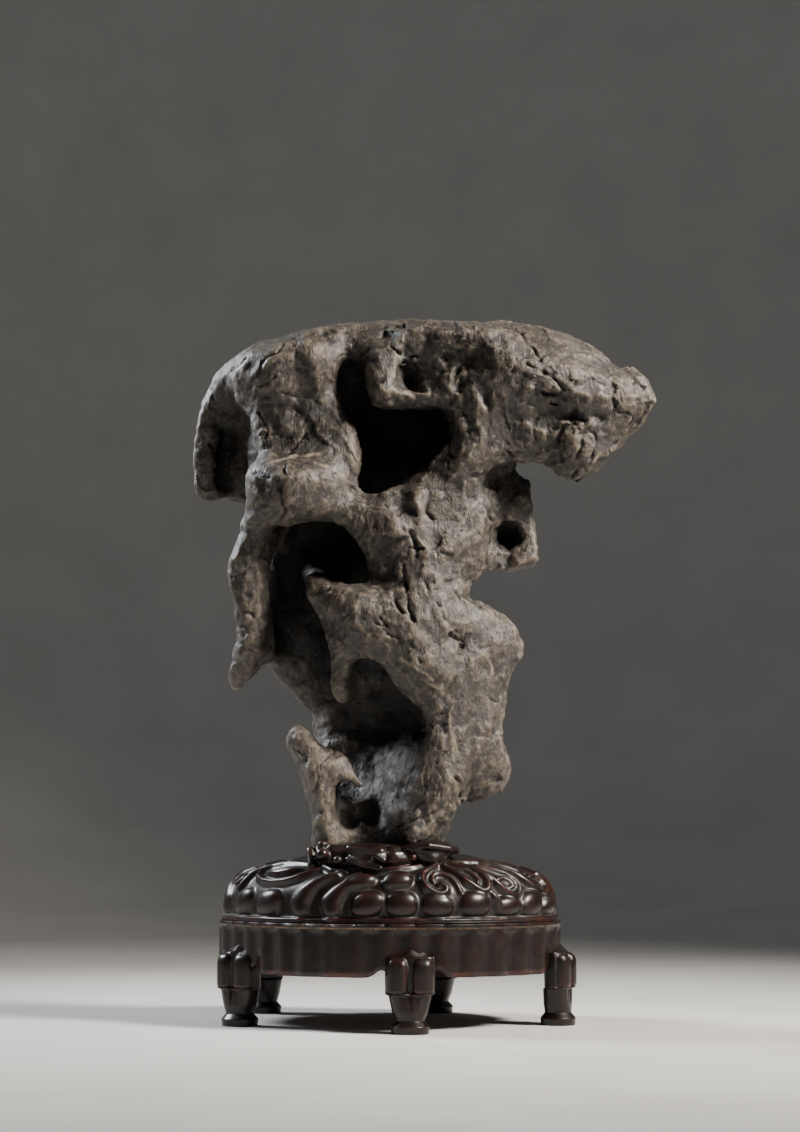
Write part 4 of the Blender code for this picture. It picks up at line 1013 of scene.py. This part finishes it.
def shade_marks(obj, reach, proxy_triangles, line, relief):
    """Stores how open and how sharp each point is, and its line, for the materials. The relief is how far a
    point has to stand out of its surroundings, in millimetres, to count as sharp."""
    mesh = obj.data
    proxy = new_object("proxy", mesh.copy())
    proxy.data.calc_loop_triangles()
    thin_out(proxy, proxy_triangles)
    settle(proxy)
    places, facing = points_of(proxy.data), normals_of(proxy.data)
    sky = blur(proxy.data, openness(proxy.data, places, facing, reach), 1)
    finder = KDTree(len(places))
    for i, place in enumerate(places):
        finder.insert(place, i)
    finder.balance()
    discard(proxy)
    points = points_of(mesh)
    open_share = np.empty(len(points))
    for i, point in enumerate(points):
        found = finder.find_n(point, SKY_NEIGHBOURS)
        weights = [1 / (distance + SKY_SOFTNESS) for _, _, distance in found]
        open_share[i] = sum(w * sky[index] for w, (_, index, _) in zip(weights, found)) / sum(weights)
    normals = normals_of(mesh)
    sharp = sum(((points - blur(mesh, points, times)) * normals).sum(axis=1) / size
                for times, size in SHARP_SCALES)
    sharp = np.clip(0.5 + SHARP_GAIN * sharp / relief, 0, 1)
    colours = np.column_stack([open_share, sharp, line, np.ones(len(points))])
    marks = mesh.color_attributes.new("marks", "FLOAT_COLOR", "POINT")
    marks.data.foreach_set("color", colours.astype(np.float32).ravel())


def centre_model(obj):
    """Moves the object's mesh from the layout to its place over the origin."""
    points = points_of(obj.data)
    points[:, :2] -= LAYOUT_CENTRE
    move_points(obj.data, points)


def finish_piece(obj, node, material):
    """Smooth shading, the material, and the node that the piece stands for."""
    obj.data.shade_smooth()
    obj.data.materials.clear()
    obj.data.materials.append(material)
    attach(obj, "root")
    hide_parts(node)


def make_rock():
    """The stone, in the layout's place."""
    rock = mass_of("stone", LUMPS, MASS_VOXEL)
    fill_creases(rock, ROCK_FILLET, MASS_VOXEL)
    hollows = mass_of("stone_hollows", HOLLOWS, MASS_VOXEL)
    boolean(rock, "DIFFERENCE", hollows)
    soften(rock, ROCK_SOFTENING)
    remesh(rock, ROCK_VOXEL)
    for size, rise in SOFT_LUMPS:
        roughen(rock, size, rise)
    soften(rock, ROCK_SOFTENING)
    settle(rock)
    discard(hollows)
    shown, line = detail_stone(rock.data)
    weight_group(rock, "front", shown * FRONT_WEIGHT)
    weight_group(rock, "line", line)
    thin_out(rock, ROCK_TRIANGLES, "front")
    settle(rock)
    return rock


def group_weights(obj, name):
    """The weights that a vertex group holds."""
    index = obj.vertex_groups[name].index
    return np.array([sum(g.weight for g in v.groups if g.group == index) for v in obj.data.vertices])


# ---------------------------------------------------------------- the stand
def plan_radius(angle):
    """Radius of the stand's plan at an angle in degrees, on a smooth closed curve through PLAN."""
    knots = [(a - 360, r) for a, r in PLAN] + PLAN + [(a + 360, r) for a, r in PLAN]
    first = PLAN[0][0]
    angle = (angle - first) % 360 + first
    after = next(i for i, (a, _) in enumerate(knots) if a > angle)
    (a0, r0), (a1, r1), (a2, r2), (a3, r3) = knots[after - 2:after + 2]
    t = (angle - a1) / (a2 - a1)
    slope1 = (r2 - r0) / (a2 - a0) * (a2 - a1)
    slope2 = (r3 - r1) / (a3 - a1) * (a2 - a1)
    return ((2 * t**3 - 3 * t**2 + 1) * r1 + (t**3 - 2 * t**2 + t) * slope1
            + (3 * t**2 - 2 * t**3) * r2 + (t**3 - t**2) * slope2)


def stand_angles():
    """The angles at which the stand's sections have points, and the plan's radius at each."""
    angles = np.arange(LOBES * COLUMNS_PER_LOBE) * 360 / (LOBES * COLUMNS_PER_LOBE)
    return angles, np.array([plan_radius(a) for a in angles])


def around(angles, radius, height):
    """Points of the stand at angles in degrees, radii and heights, in the layout."""
    turn = np.radians(angles)
    height = np.broadcast_to(height, turn.shape)
    return np.column_stack([STAND_CENTRE[0] + radius * np.cos(turn),
                            STAND_CENTRE[1] + radius * np.sin(turn), height])


def loft(name, sections, ring=False):
    """A closed skin over a row of sections with equal numbers of points, capped, or closed into a ring."""
    count = len(sections[0])
    rows = len(sections)
    faces = []
    pairs = [(row, row + 1) for row in range(rows - 1)]
    if ring:
        pairs.append((rows - 1, 0))
    else:
        faces.append(list(range(count - 1, -1, -1)))
        faces.append([(rows - 1) * count + i for i in range(count)])
    for low, high in pairs:
        for i in range(count):
            j = (i + 1) % count
            faces.append((low * count + i, low * count + j, high * count + j, high * count + i))
    mesh = bpy.data.meshes.new(name)
    mesh.from_pydata((np.concatenate(sections) * MM).tolist(), [], faces)
    mesh.validate()
    mesh.calc_loop_triangles()
    return new_object(name, mesh)


def lobe(angle):
    """0 in the groove between two flutes and 1 on the crown of one."""
    return np.abs(np.sin(np.radians(angle) * LOBES / 2))


def dome_profile():
    """The dome's section: length along it in millimetres, and the inward and upward share there."""
    rise = np.radians(np.linspace(0, 90, DOME_STEPS))
    inward = np.maximum(np.cos(rise), 0) ** (2 / DOME_POWER)
    upward = np.sin(rise) ** (2 / DOME_POWER)
    steps = np.hypot(np.diff(inward) * NOMINAL_RADIUS, np.diff(upward) * (DOME_TOP - DOME_BOTTOM))
    return np.concatenate([[0], np.cumsum(steps)]), inward, upward


def round_height(away, rise):
    """The height of a rounded form, from its crown at 0 to its edge at 1."""
    return rise * np.sqrt(np.clip(1 - away ** 2, 0, 1))


def pebble_height(s, v, pebble):
    """How far a pebble stands over the ground."""
    centre, middle, half_width, half_height, lean = pebble
    up = (v - middle) / half_height
    across = (s - centre - lean * up) / half_width
    away = (np.abs(across) ** PEBBLE_POWER + np.abs(up) ** PEBBLE_POWER) ** (1 / PEBBLE_POWER)
    return round_height(away, PEBBLE_RISE)


def band_height(s, v, band):
    """How far a band stands over the ground: round across, and as wide as its points say."""
    best = np.zeros(s.shape)
    for (s0, v0, w0), (s1, v1, w1) in zip(band, band[1:]):
        along = np.array([s1 - s0, v1 - v0])
        share = np.clip(((s - s0) * along[0] + (v - v0) * along[1]) / (along @ along), 0, 1)
        width = w0 + (w1 - w0) * share
        away = np.hypot(s - s0 - share * along[0], v - v0 - share * along[1]) / width
        best = np.maximum(best, round_height(away, BAND_RISE * np.minimum(width / BAND_FULL, 1)))
    return best


def worn(grid, times):
    """The grid of heights with its edges rounded; it joins up with itself sideways."""
    for _ in range(times):
        padded = np.pad(grid, ((1, 1), (0, 0)), mode="edge")
        grid = (padded[:-2] + 2 * grid + padded[2:]) / 4
        grid = (np.roll(grid, 1, axis=1) + 2 * grid + np.roll(grid, -1, axis=1)) / 4
    return grid


def carving(s, v):
    """How far the dome's carving stands over its ground at each place of a grid."""
    turn = 2 * math.pi * NOMINAL_RADIUS
    height = np.zeros(s.shape)
    for shift in (-turn, -turn / 2, 0, turn / 2):
        for pebble in PEBBLES:
            height = np.maximum(height, pebble_height(s + shift, v, pebble))
        for band in BANDS.values():
            height = np.maximum(height, band_height(s + shift, v, band))
    return worn(height, CARVING_WEAR)


def make_dome():
    """The carved dome, with its ledge, in the layout."""
    length, inward, upward = dome_profile()
    fine_step, fine_end, coarse_step = DOME_ROWS
    rows = np.concatenate([np.arange(0, fine_end, fine_step),
                           np.arange(fine_end, length[-1] - coarse_step, coarse_step)])
    angles, plan = stand_angles()
    s, v = np.meshgrid(np.radians((angles + 90) % 360) * NOMINAL_RADIUS, rows)
    ground = np.clip((v - LEDGE_TOP + LEDGE_STEP) / LEDGE_STEP, 0, 1) * DOME_GROUND
    ground *= 1 - np.clip((v - CROWN_START) / CROWN_SPAN, 0, 1) * CROWN_RISE
    relief = carving(s, v) - ground
    place, half_width, depth = LEDGE_GROOVE
    relief -= depth * (1 - np.clip(np.abs(v - place) / half_width, 0, 1))
    rise = DOME_TOP - DOME_BOTTOM
    sections = []
    for row, along in enumerate(rows):
        inner, upper = np.interp(along, length, inward), np.interp(along, length, upward)
        ahead = np.interp(along + 1, length, inward), np.interp(along + 1, length, upward)
        step = np.array([(ahead[0] - inner) * NOMINAL_RADIUS, (ahead[1] - upper) * rise])
        out, up = step[1] / np.hypot(*step), -step[0] / np.hypot(*step)
        radius = (plan - DOME_INSET) * inner + out * relief[row]
        height = DOME_BOTTOM + rise * upper + up * relief[row]
        sections.append(around(angles, radius, height))
    return loft("dome", sections)


def make_stand_top(rock):
    """The dome and its collar with the socket for the stone."""
    top = make_dome()
    collar = mass_of("collar_mass", COLLAR, COLLAR_VOXEL)
    soften(collar, COLLAR_SOFTENING)
    settle(collar)
    socket = new_object("socket", rock.data.copy())
    socket.data.calc_loop_triangles()
    thin_out(socket, SOCKET_TRIANGLES)
    grow = socket.modifiers.new("clearance", "DISPLACE")
    grow.mid_level = 0.0
    grow.strength = SOCKET_GAP
    settle(socket)
    boolean(top, "UNION", collar)
    settle(top)
    boolean(top, "DIFFERENCE", socket)
    settle(top)
    discard(collar, socket)
    return top


def make_apron():
    """The fluted ring that the dome sits on, with an arch in its bottom edge beside each leg."""
    angles, plan = stand_angles()
    near = np.min([np.abs((angles - leg + 180) % 360 - 180) for leg, _ in LEGS.values()], axis=0)
    away = np.radians(near) * plan - ARCH_PLACE
    bottom = APRON_BOTTOM + ARCH_RISE * np.exp(-(away / ARCH_WIDTH) ** 2)
    crown = lobe(angles) ** 2
    sections = [around(angles, plan - APRON_WALL, bottom)]
    for share in APRON_ROWS:
        height = bottom + (APRON_TOP - bottom) * share
        fade = np.clip((APRON_TOP - height) / RIM_HEIGHT, 0, 1)
        fade = fade * fade * (3 - 2 * fade)
        tuck = APRON_TUCK * np.clip(1 - share / TUCK_SHARE, 0, 1)
        radius = plan + APRON_SWELL - FLUTE_DEPTH * (1 - crown) * fade - tuck
        sections.append(around(angles, radius, height))
    for drop, inset in APRON_RIM:
        sections.append(around(angles, plan + APRON_SWELL - inset, APRON_TOP - drop))
    sections.append(around(angles, plan - APRON_WALL, APRON_TOP))
    return loft("apron", sections, ring=True)


def even_outline(half_width, half_depth, power):
    """A rounded rectangle, as columns x and y, with its points the same distance apart."""
    turn = 2 * math.pi * np.arange(LEG_STEPS + 1) / LEG_STEPS
    c, s = np.cos(turn), np.sin(turn)
    x = np.sign(c) * np.abs(c) ** (2 / power) * half_width
    y = np.sign(s) * np.abs(s) ** (2 / power) * half_depth
    length = np.concatenate([[0], np.cumsum(np.hypot(np.diff(x), np.diff(y)))])
    places = length[-1] * (np.arange(LEG_COLUMNS) + 0.5) / LEG_COLUMNS
    return np.interp(places, length, x), np.interp(places, length, y)


def leg_points(height, half_width, half_depth, power, shift):
    """One section of a leg, with its front carved."""
    x, y = even_outline(half_width, half_depth, power)
    front = np.clip(-y / half_depth * FRONT_STEEPNESS, 0, 1)
    y = y - shift
    z = np.full(LEG_COLUMNS, height)
    if height > HEAD_BOTTOM:
        middle, lobe_width, shoulder, lobe_height = HEAD_LOBE
        across = np.abs(np.abs(x) - middle) / lobe_width
        up = max(height - shoulder, 0) / lobe_height
        foot, foot_height = LOBE_FOOT
        low = max(HEAD_BOTTOM + foot - height, 0) / foot_height
        across_power, up_power, low_power, front_power = LOBE_POWERS
        lobes = np.clip(1 - across ** across_power - up ** up_power - low ** low_power, 0, 1) ** front_power
        y += front * HEAD_PLATE * (1 - lobes)
        start, drop, point_width = HEAD_POINT
        share = np.clip((height - start) / (LEG_HEIGHT - start), 0, 1)
        z -= share * drop * (1 - np.exp(-(x / point_width) ** 2))
    elif height > CUP_BOTTOM:
        share = (height - CUP_BOTTOM) / (HEAD_BOTTOM - CUP_BOTTOM)
        depth, power, groove_width = CUP_GROOVE
        fine_depth, flutes = CUP_FLUTES
        groove = depth * share ** power * np.exp(-(x / groove_width) ** 2)
        y += front * (groove + fine_depth * np.cos(x / half_width * flutes) ** 2 * share)
    return np.column_stack([x, y, z])


def make_leg(name, stance, facing):
    """A leg with two round lobes on its head, a cup and a pad foot, in the layout."""
    table = np.array(LEG_SECTIONS)
    heights = np.unique(np.concatenate([np.linspace(0, LEG_HEIGHT, LEG_ROWS), table[:, 0]]))
    smooth = [np.interp(heights, table[:, 0], table[:, column]) for column in range(1, 5)]
    sections = [leg_points(height, *values) for height, *values in zip(heights, *smooth)]
    turn = math.radians(facing + 90)
    spin = np.array([[math.cos(turn), -math.sin(turn), 0], [math.sin(turn), math.cos(turn), 0], [0, 0, 1]])
    place = around(np.array([float(stance)]), plan_radius(stance) - LEG_INSET, 0.0)
    leg = loft(name, [section @ spin.T + place for section in sections])
    soften(leg, LEG_SOFTENING)
    settle(leg)
    return leg


# ---------------------------------------------------------------- materials
class Surface:
    """A material under construction: nodes are added by kind and linked through their inputs."""

    def __init__(self, name):
        self.material = bpy.data.materials.new(name)
        self.material.use_nodes = True
        self.tree = self.material.node_tree
        self.shader = self.tree.nodes["Principled BSDF"]
        self.place = self.node("ShaderNodeTexCoord").outputs["Object"]
        marks = self.node("ShaderNodeAttribute", attribute_name="marks")
        split = self.node("ShaderNodeSeparateColor", inputs={0: marks.outputs["Color"]})
        self.open, self.sharp, self.line = split.outputs

    def node(self, kind, inputs=None, **settings):
        """A new node, with its inputs fed and its settings set."""
        made = self.tree.nodes.new(kind)
        for key, value in settings.items():
            setattr(made, key, value)
        for key, value in (inputs or {}).items():
            self.feed(made.inputs[key], value)
        return made

    def feed(self, socket, value):
        """Links a socket to another node's output, or sets its value."""
        if isinstance(value, bpy.types.NodeSocket):
            self.tree.links.new(value, socket)
        else:
            socket.default_value = value

    def times(self, first, second):
        """The product of two values."""
        return self.node("ShaderNodeMath", {0: first, 1: second}, operation="MULTIPLY").outputs[0]

    def plus(self, first, second):
        """The sum of two values."""
        return self.node("ShaderNodeMath", {0: first, 1: second}, operation="ADD").outputs[0]

    def span(self, value, low, high, out_low=0.0, out_high=1.0):
        """The value's place between low and high, as a place between the other two, and no further."""
        made = self.node("ShaderNodeMapRange", {0: value, 1: low, 2: high, 3: out_low, 4: out_high})
        return made.outputs[0]

    def stretched(self, scale, turn=(0.0, 0.0, 0.0)):
        """The place on the surface, scaled along each axis, so that textures stretch."""
        inputs = {"Vector": self.place, "Rotation": turn, "Scale": scale}
        return self.node("ShaderNodeMapping", inputs).outputs[0]

    def noise(self, size, detail, rough, warp, place=None):
        """Soft noise with lumps of a size in millimetres."""
        made = self.node("ShaderNodeTexNoise", {
            "Vector": place or self.place, "Scale": 1 / (size * MM), "Detail": detail, "Roughness": rough,
            "Distortion": warp})
        return made.outputs["Fac"]

    def cells(self, size):
        """The distance from the edges of cells of a size in millimetres."""
        inputs = {"Vector": self.place, "Scale": 1 / (size * MM)}
        return self.node("ShaderNodeTexVoronoi", inputs, feature="DISTANCE_TO_EDGE").outputs["Distance"]

    def mix(self, share, first, second, blend="MIX"):
        """The second colour over the first one, as far as the share says."""
        inputs = {0: share, 6: first, 7: second}
        return self.node("ShaderNodeMix", inputs, data_type="RGBA", blend_type=blend).outputs[2]

    def bump(self, heights):
        """Stacks height maps: each is a height, its strength and its depth in millimetres."""
        normal = None
        for height, strength, depth in heights:
            inputs = {"Height": height, "Strength": strength, "Distance": depth * MM}
            if normal:
                inputs["Normal"] = normal
            normal = self.node("ShaderNodeBump", inputs).outputs["Normal"]
        self.feed(self.shader.inputs["Normal"], normal)


def stone_material():
    """Grey-brown limestone: leathery, with bluish plates, tan edges and pale veins, and painted shade in
    its hollows, creases and cracks.
    """
    s = Surface("stone")
    noise = {name: s.noise(*values) for name, values in STONE_NOISES.items() if name != "wrinkles"}
    wrinkles = s.noise(*STONE_NOISES["wrinkles"], s.stretched(WRINKLE_STRETCH, WRINKLE_TURN))
    base = s.mix(s.span(noise["broad"], 0.36, 0.64), STONE_GREY, STONE_TAUPE)
    base = s.mix(s.times(s.span(noise["patches"], 0.38, 0.66), 0.55), base, STONE_WARM)
    base = s.mix(s.span(noise["plates"], 0.56, 0.72, 0.0, 0.5), base, STONE_BLUE)
    stains = s.times(s.span(noise["stains"], 0.5, 0.68), s.span(s.open, 0.75, 0.35))
    base = s.mix(s.times(stains, 0.75), base, STONE_TAN)
    base = s.mix(s.times(s.span(s.sharp, 0.54, 0.78), 0.6), base, STONE_EDGE)
    veins = s.times(s.span(s.line, 0.55, 1.0), s.span(noise["vein breaks"], 0.3, 0.5, 0.4, 1.0))
    base = s.mix(veins, base, STONE_VEIN)
    speck = s.span(noise["specks"], 0.3, 0.72, 0.62, 1.32)
    specks = s.node("ShaderNodeCombineColor", {0: speck, 1: speck, 2: speck}).outputs[0]
    base = s.mix(1.0, base, specks, "MULTIPLY")
    # Painted shade: the concave creases, and then the listed cracks, are darkened towards near black.
    base = s.mix(s.span(s.sharp, 0.46, 0.26, 0.0, 0.85), base, STONE_PAINTED_CREASE_SHADE)
    base = s.mix(s.span(s.line, 0.42, 0.1, 0.0, 0.75), base, STONE_PAINTED_CREASE_SHADE)
    # Painted shade: the hollows are darkened towards near black as far as they are closed to the sky.
    base = s.mix(s.span(s.open, 0.84, 0.47, 0.0, 0.97), base, STONE_PAINTED_HOLLOW_SHADE)
    s.feed(s.shader.inputs["Base Color"], base)
    rough = s.span(noise["gloss"], 0.3, 0.7, 0.42, 0.66)
    s.feed(s.shader.inputs["Roughness"], s.plus(rough, s.span(s.open, 0.8, 0.3, 0.0, 0.22)))
    s.bump([(noise["knobbles"], 0.5, 1.2), (wrinkles, 0.8, 1.0), (s.cells(STONE_CELLS), 0.3, 0.5),
            (noise["grit"], 0.35, 0.16)])
    return s.material


def wood_material():
    """Old polished hardwood, almost black, red-brown on its crowns from wear and as painted glints, with
    dust in its grooves and painted shade in its hollows.
    """
    s = Surface("carved_wood")
    stretch = {"grain": s.stretched(GRAIN_SCALE), "scratches": s.stretched(SCRATCH_STRETCH, SCRATCH_TURN)}
    noise = {name: s.noise(*values, stretch.get(name)) for name, values in WOOD_NOISES.items()}
    base = s.mix(s.span(noise["grain"], 0.35, 0.7), WOOD_DARK, WOOD_BROWN)
    # The crowns turn red-brown where the wood is worn, which also stands in for painted glints.
    crown = s.times(s.span(s.sharp, 0.51, 0.8), s.span(noise["blotches"], 0.42, 0.62))
    base = s.mix(s.times(crown, 0.85), base, WOOD_WORN_RED_AND_GLINT)
    up = s.node("ShaderNodeSeparateXYZ", {0: s.place}).outputs[2]
    start, full, end = (height * MM for height in WORN_LINE)
    line = s.times(s.span(up, start, full), s.span(up, end, full))
    base = s.mix(s.times(line, s.span(noise["line wear"], 0.3, 0.6, 0.25, 1.0)), base, WOOD_WORN)
    dust = s.times(s.span(s.sharp, 0.47, 0.3), s.span(noise["dust"], 0.3, 0.62))
    base = s.mix(s.times(dust, 0.5), base, WOOD_DUST)
    # Painted shade: the wood's hollows are darkened towards black as far as they are closed to the sky.
    base = s.mix(s.span(s.open, 0.5, 0.1, 0.0, 0.9), base, WOOD_PAINTED_HOLLOW_SHADE)
    s.feed(s.shader.inputs["Base Color"], base)
    smear = s.span(noise["smears"], 0.35, 0.7, 0.27, 0.46)
    s.feed(s.shader.inputs["Roughness"], s.plus(smear, s.times(dust, 0.3)))
    for name, value in WOOD_GLOSS.items():
        s.shader.inputs[name].default_value = value
    s.bump([(noise["waves"], 0.35, 0.7), (noise["grain"], 0.3, 0.12), (noise["scratches"], 0.15, 0.08)])
    return s.material


def floor_material():
    """A plain pale floor with a little mottling."""
    s = Surface("floor")
    mottle = s.span(s.noise(*FLOOR_NOISE), 0.3, 0.7)
    s.feed(s.shader.inputs["Base Color"], s.mix(mottle, FLOOR_LOW, FLOOR_HIGH))
    s.shader.inputs["Roughness"].default_value = FLOOR_ROUGHNESS
    return s.material


# ---------------------------------------------------------------- the studio
def make_camera():
    """The camera at the eye point, as the photograph was taken."""
    lens = bpy.data.cameras.new("camera")
    lens.sensor_width = SENSOR_WIDTH
    lens.lens = lens.sensor_width * FOCAL_PIXELS / IMAGE_HEIGHT
    camera = new_object("camera", lens)
    camera.location = Vector((-LAYOUT_CENTRE[0], -EYE_DISTANCE - LAYOUT_CENTRE[1], EYE_HEIGHT)) * MM
    camera.rotation_euler = (math.radians(90 + EYE_PITCH), 0, 0)
    bpy.context.scene.camera = camera


def make_lamp(name, place, size, energy, tint):
    """A soft square lamp that points at the middle of the stone."""
    light = bpy.data.lights.new(name, "AREA")
    light.size = size
    light.energy = energy
    light.spread = math.radians(LAMP_SPREAD)
    light.color = tint
    lamp = new_object(name, light)
    lamp.location = place
    lamp.rotation_euler = (Vector(LAMP_TARGET) - Vector(place)).to_track_quat("-Z", "Y").to_euler()


def make_studio():
    """A pale floor that rises into a round backdrop, so that every side has one, and soft lights."""
    turn = 2 * math.pi * np.arange(BOWL_SIDES) / BOWL_SIDES
    rings = [np.column_stack([away * np.cos(turn), away * np.sin(turn), np.full(BOWL_SIDES, height)])
             for away, height in BOWL]
    faces = [list(range(BOWL_SIDES))]
    for low in range(len(BOWL) - 1):
        for i in range(BOWL_SIDES):
            j = (i + 1) % BOWL_SIDES
            first, second = low * BOWL_SIDES, (low + 1) * BOWL_SIDES
            faces.append([first + i, second + i, second + j, first + j])
    mesh = bpy.data.meshes.new("floor")
    mesh.from_pydata((np.concatenate(rings) * MM).tolist(), [], faces)
    mesh.shade_smooth()
    floor = new_object("floor", mesh)
    mesh.materials.append(floor_material())
    for name, values in LAMPS.items():
        make_lamp(name, *values)
    world = bpy.data.worlds.new("studio")
    world.use_nodes = True
    sky = world.node_tree.nodes["Background"].inputs
    sky["Color"].default_value = WORLD_TINT
    sky["Strength"].default_value = WORLD_STRENGTH
    bpy.context.scene.world = world


def main():
    """Makes the camera, the studio and the eight pieces."""
    make_camera()
    make_studio()
    rock = make_rock()
    top = make_stand_top(rock)
    centre_model(rock)
    centre_model(top)
    shade_marks(rock, ROCK_REACH, ROCK_PROXY, group_weights(rock, "line"), ROCK_RELIEF)
    shade_marks(top, STAND_REACH, STAND_PROXY, np.zeros(len(top.data.vertices)), WOOD_RELIEF)
    finish_piece(rock, "rock", stone_material())
    wood = wood_material()
    finish_piece(top, "stand_top", wood)
    apron = make_apron()
    legs = [make_leg(f"{name}_carved", *place) for name, place in LEGS.items()]
    for piece, node in zip([apron] + legs, ["stand_apron"] + list(LEGS)):
        centre_model(piece)
        shade_marks(piece, STAND_REACH, STAND_PROXY, np.zeros(len(piece.data.vertices)), WOOD_RELIEF)
        finish_piece(piece, node, wood)


main()
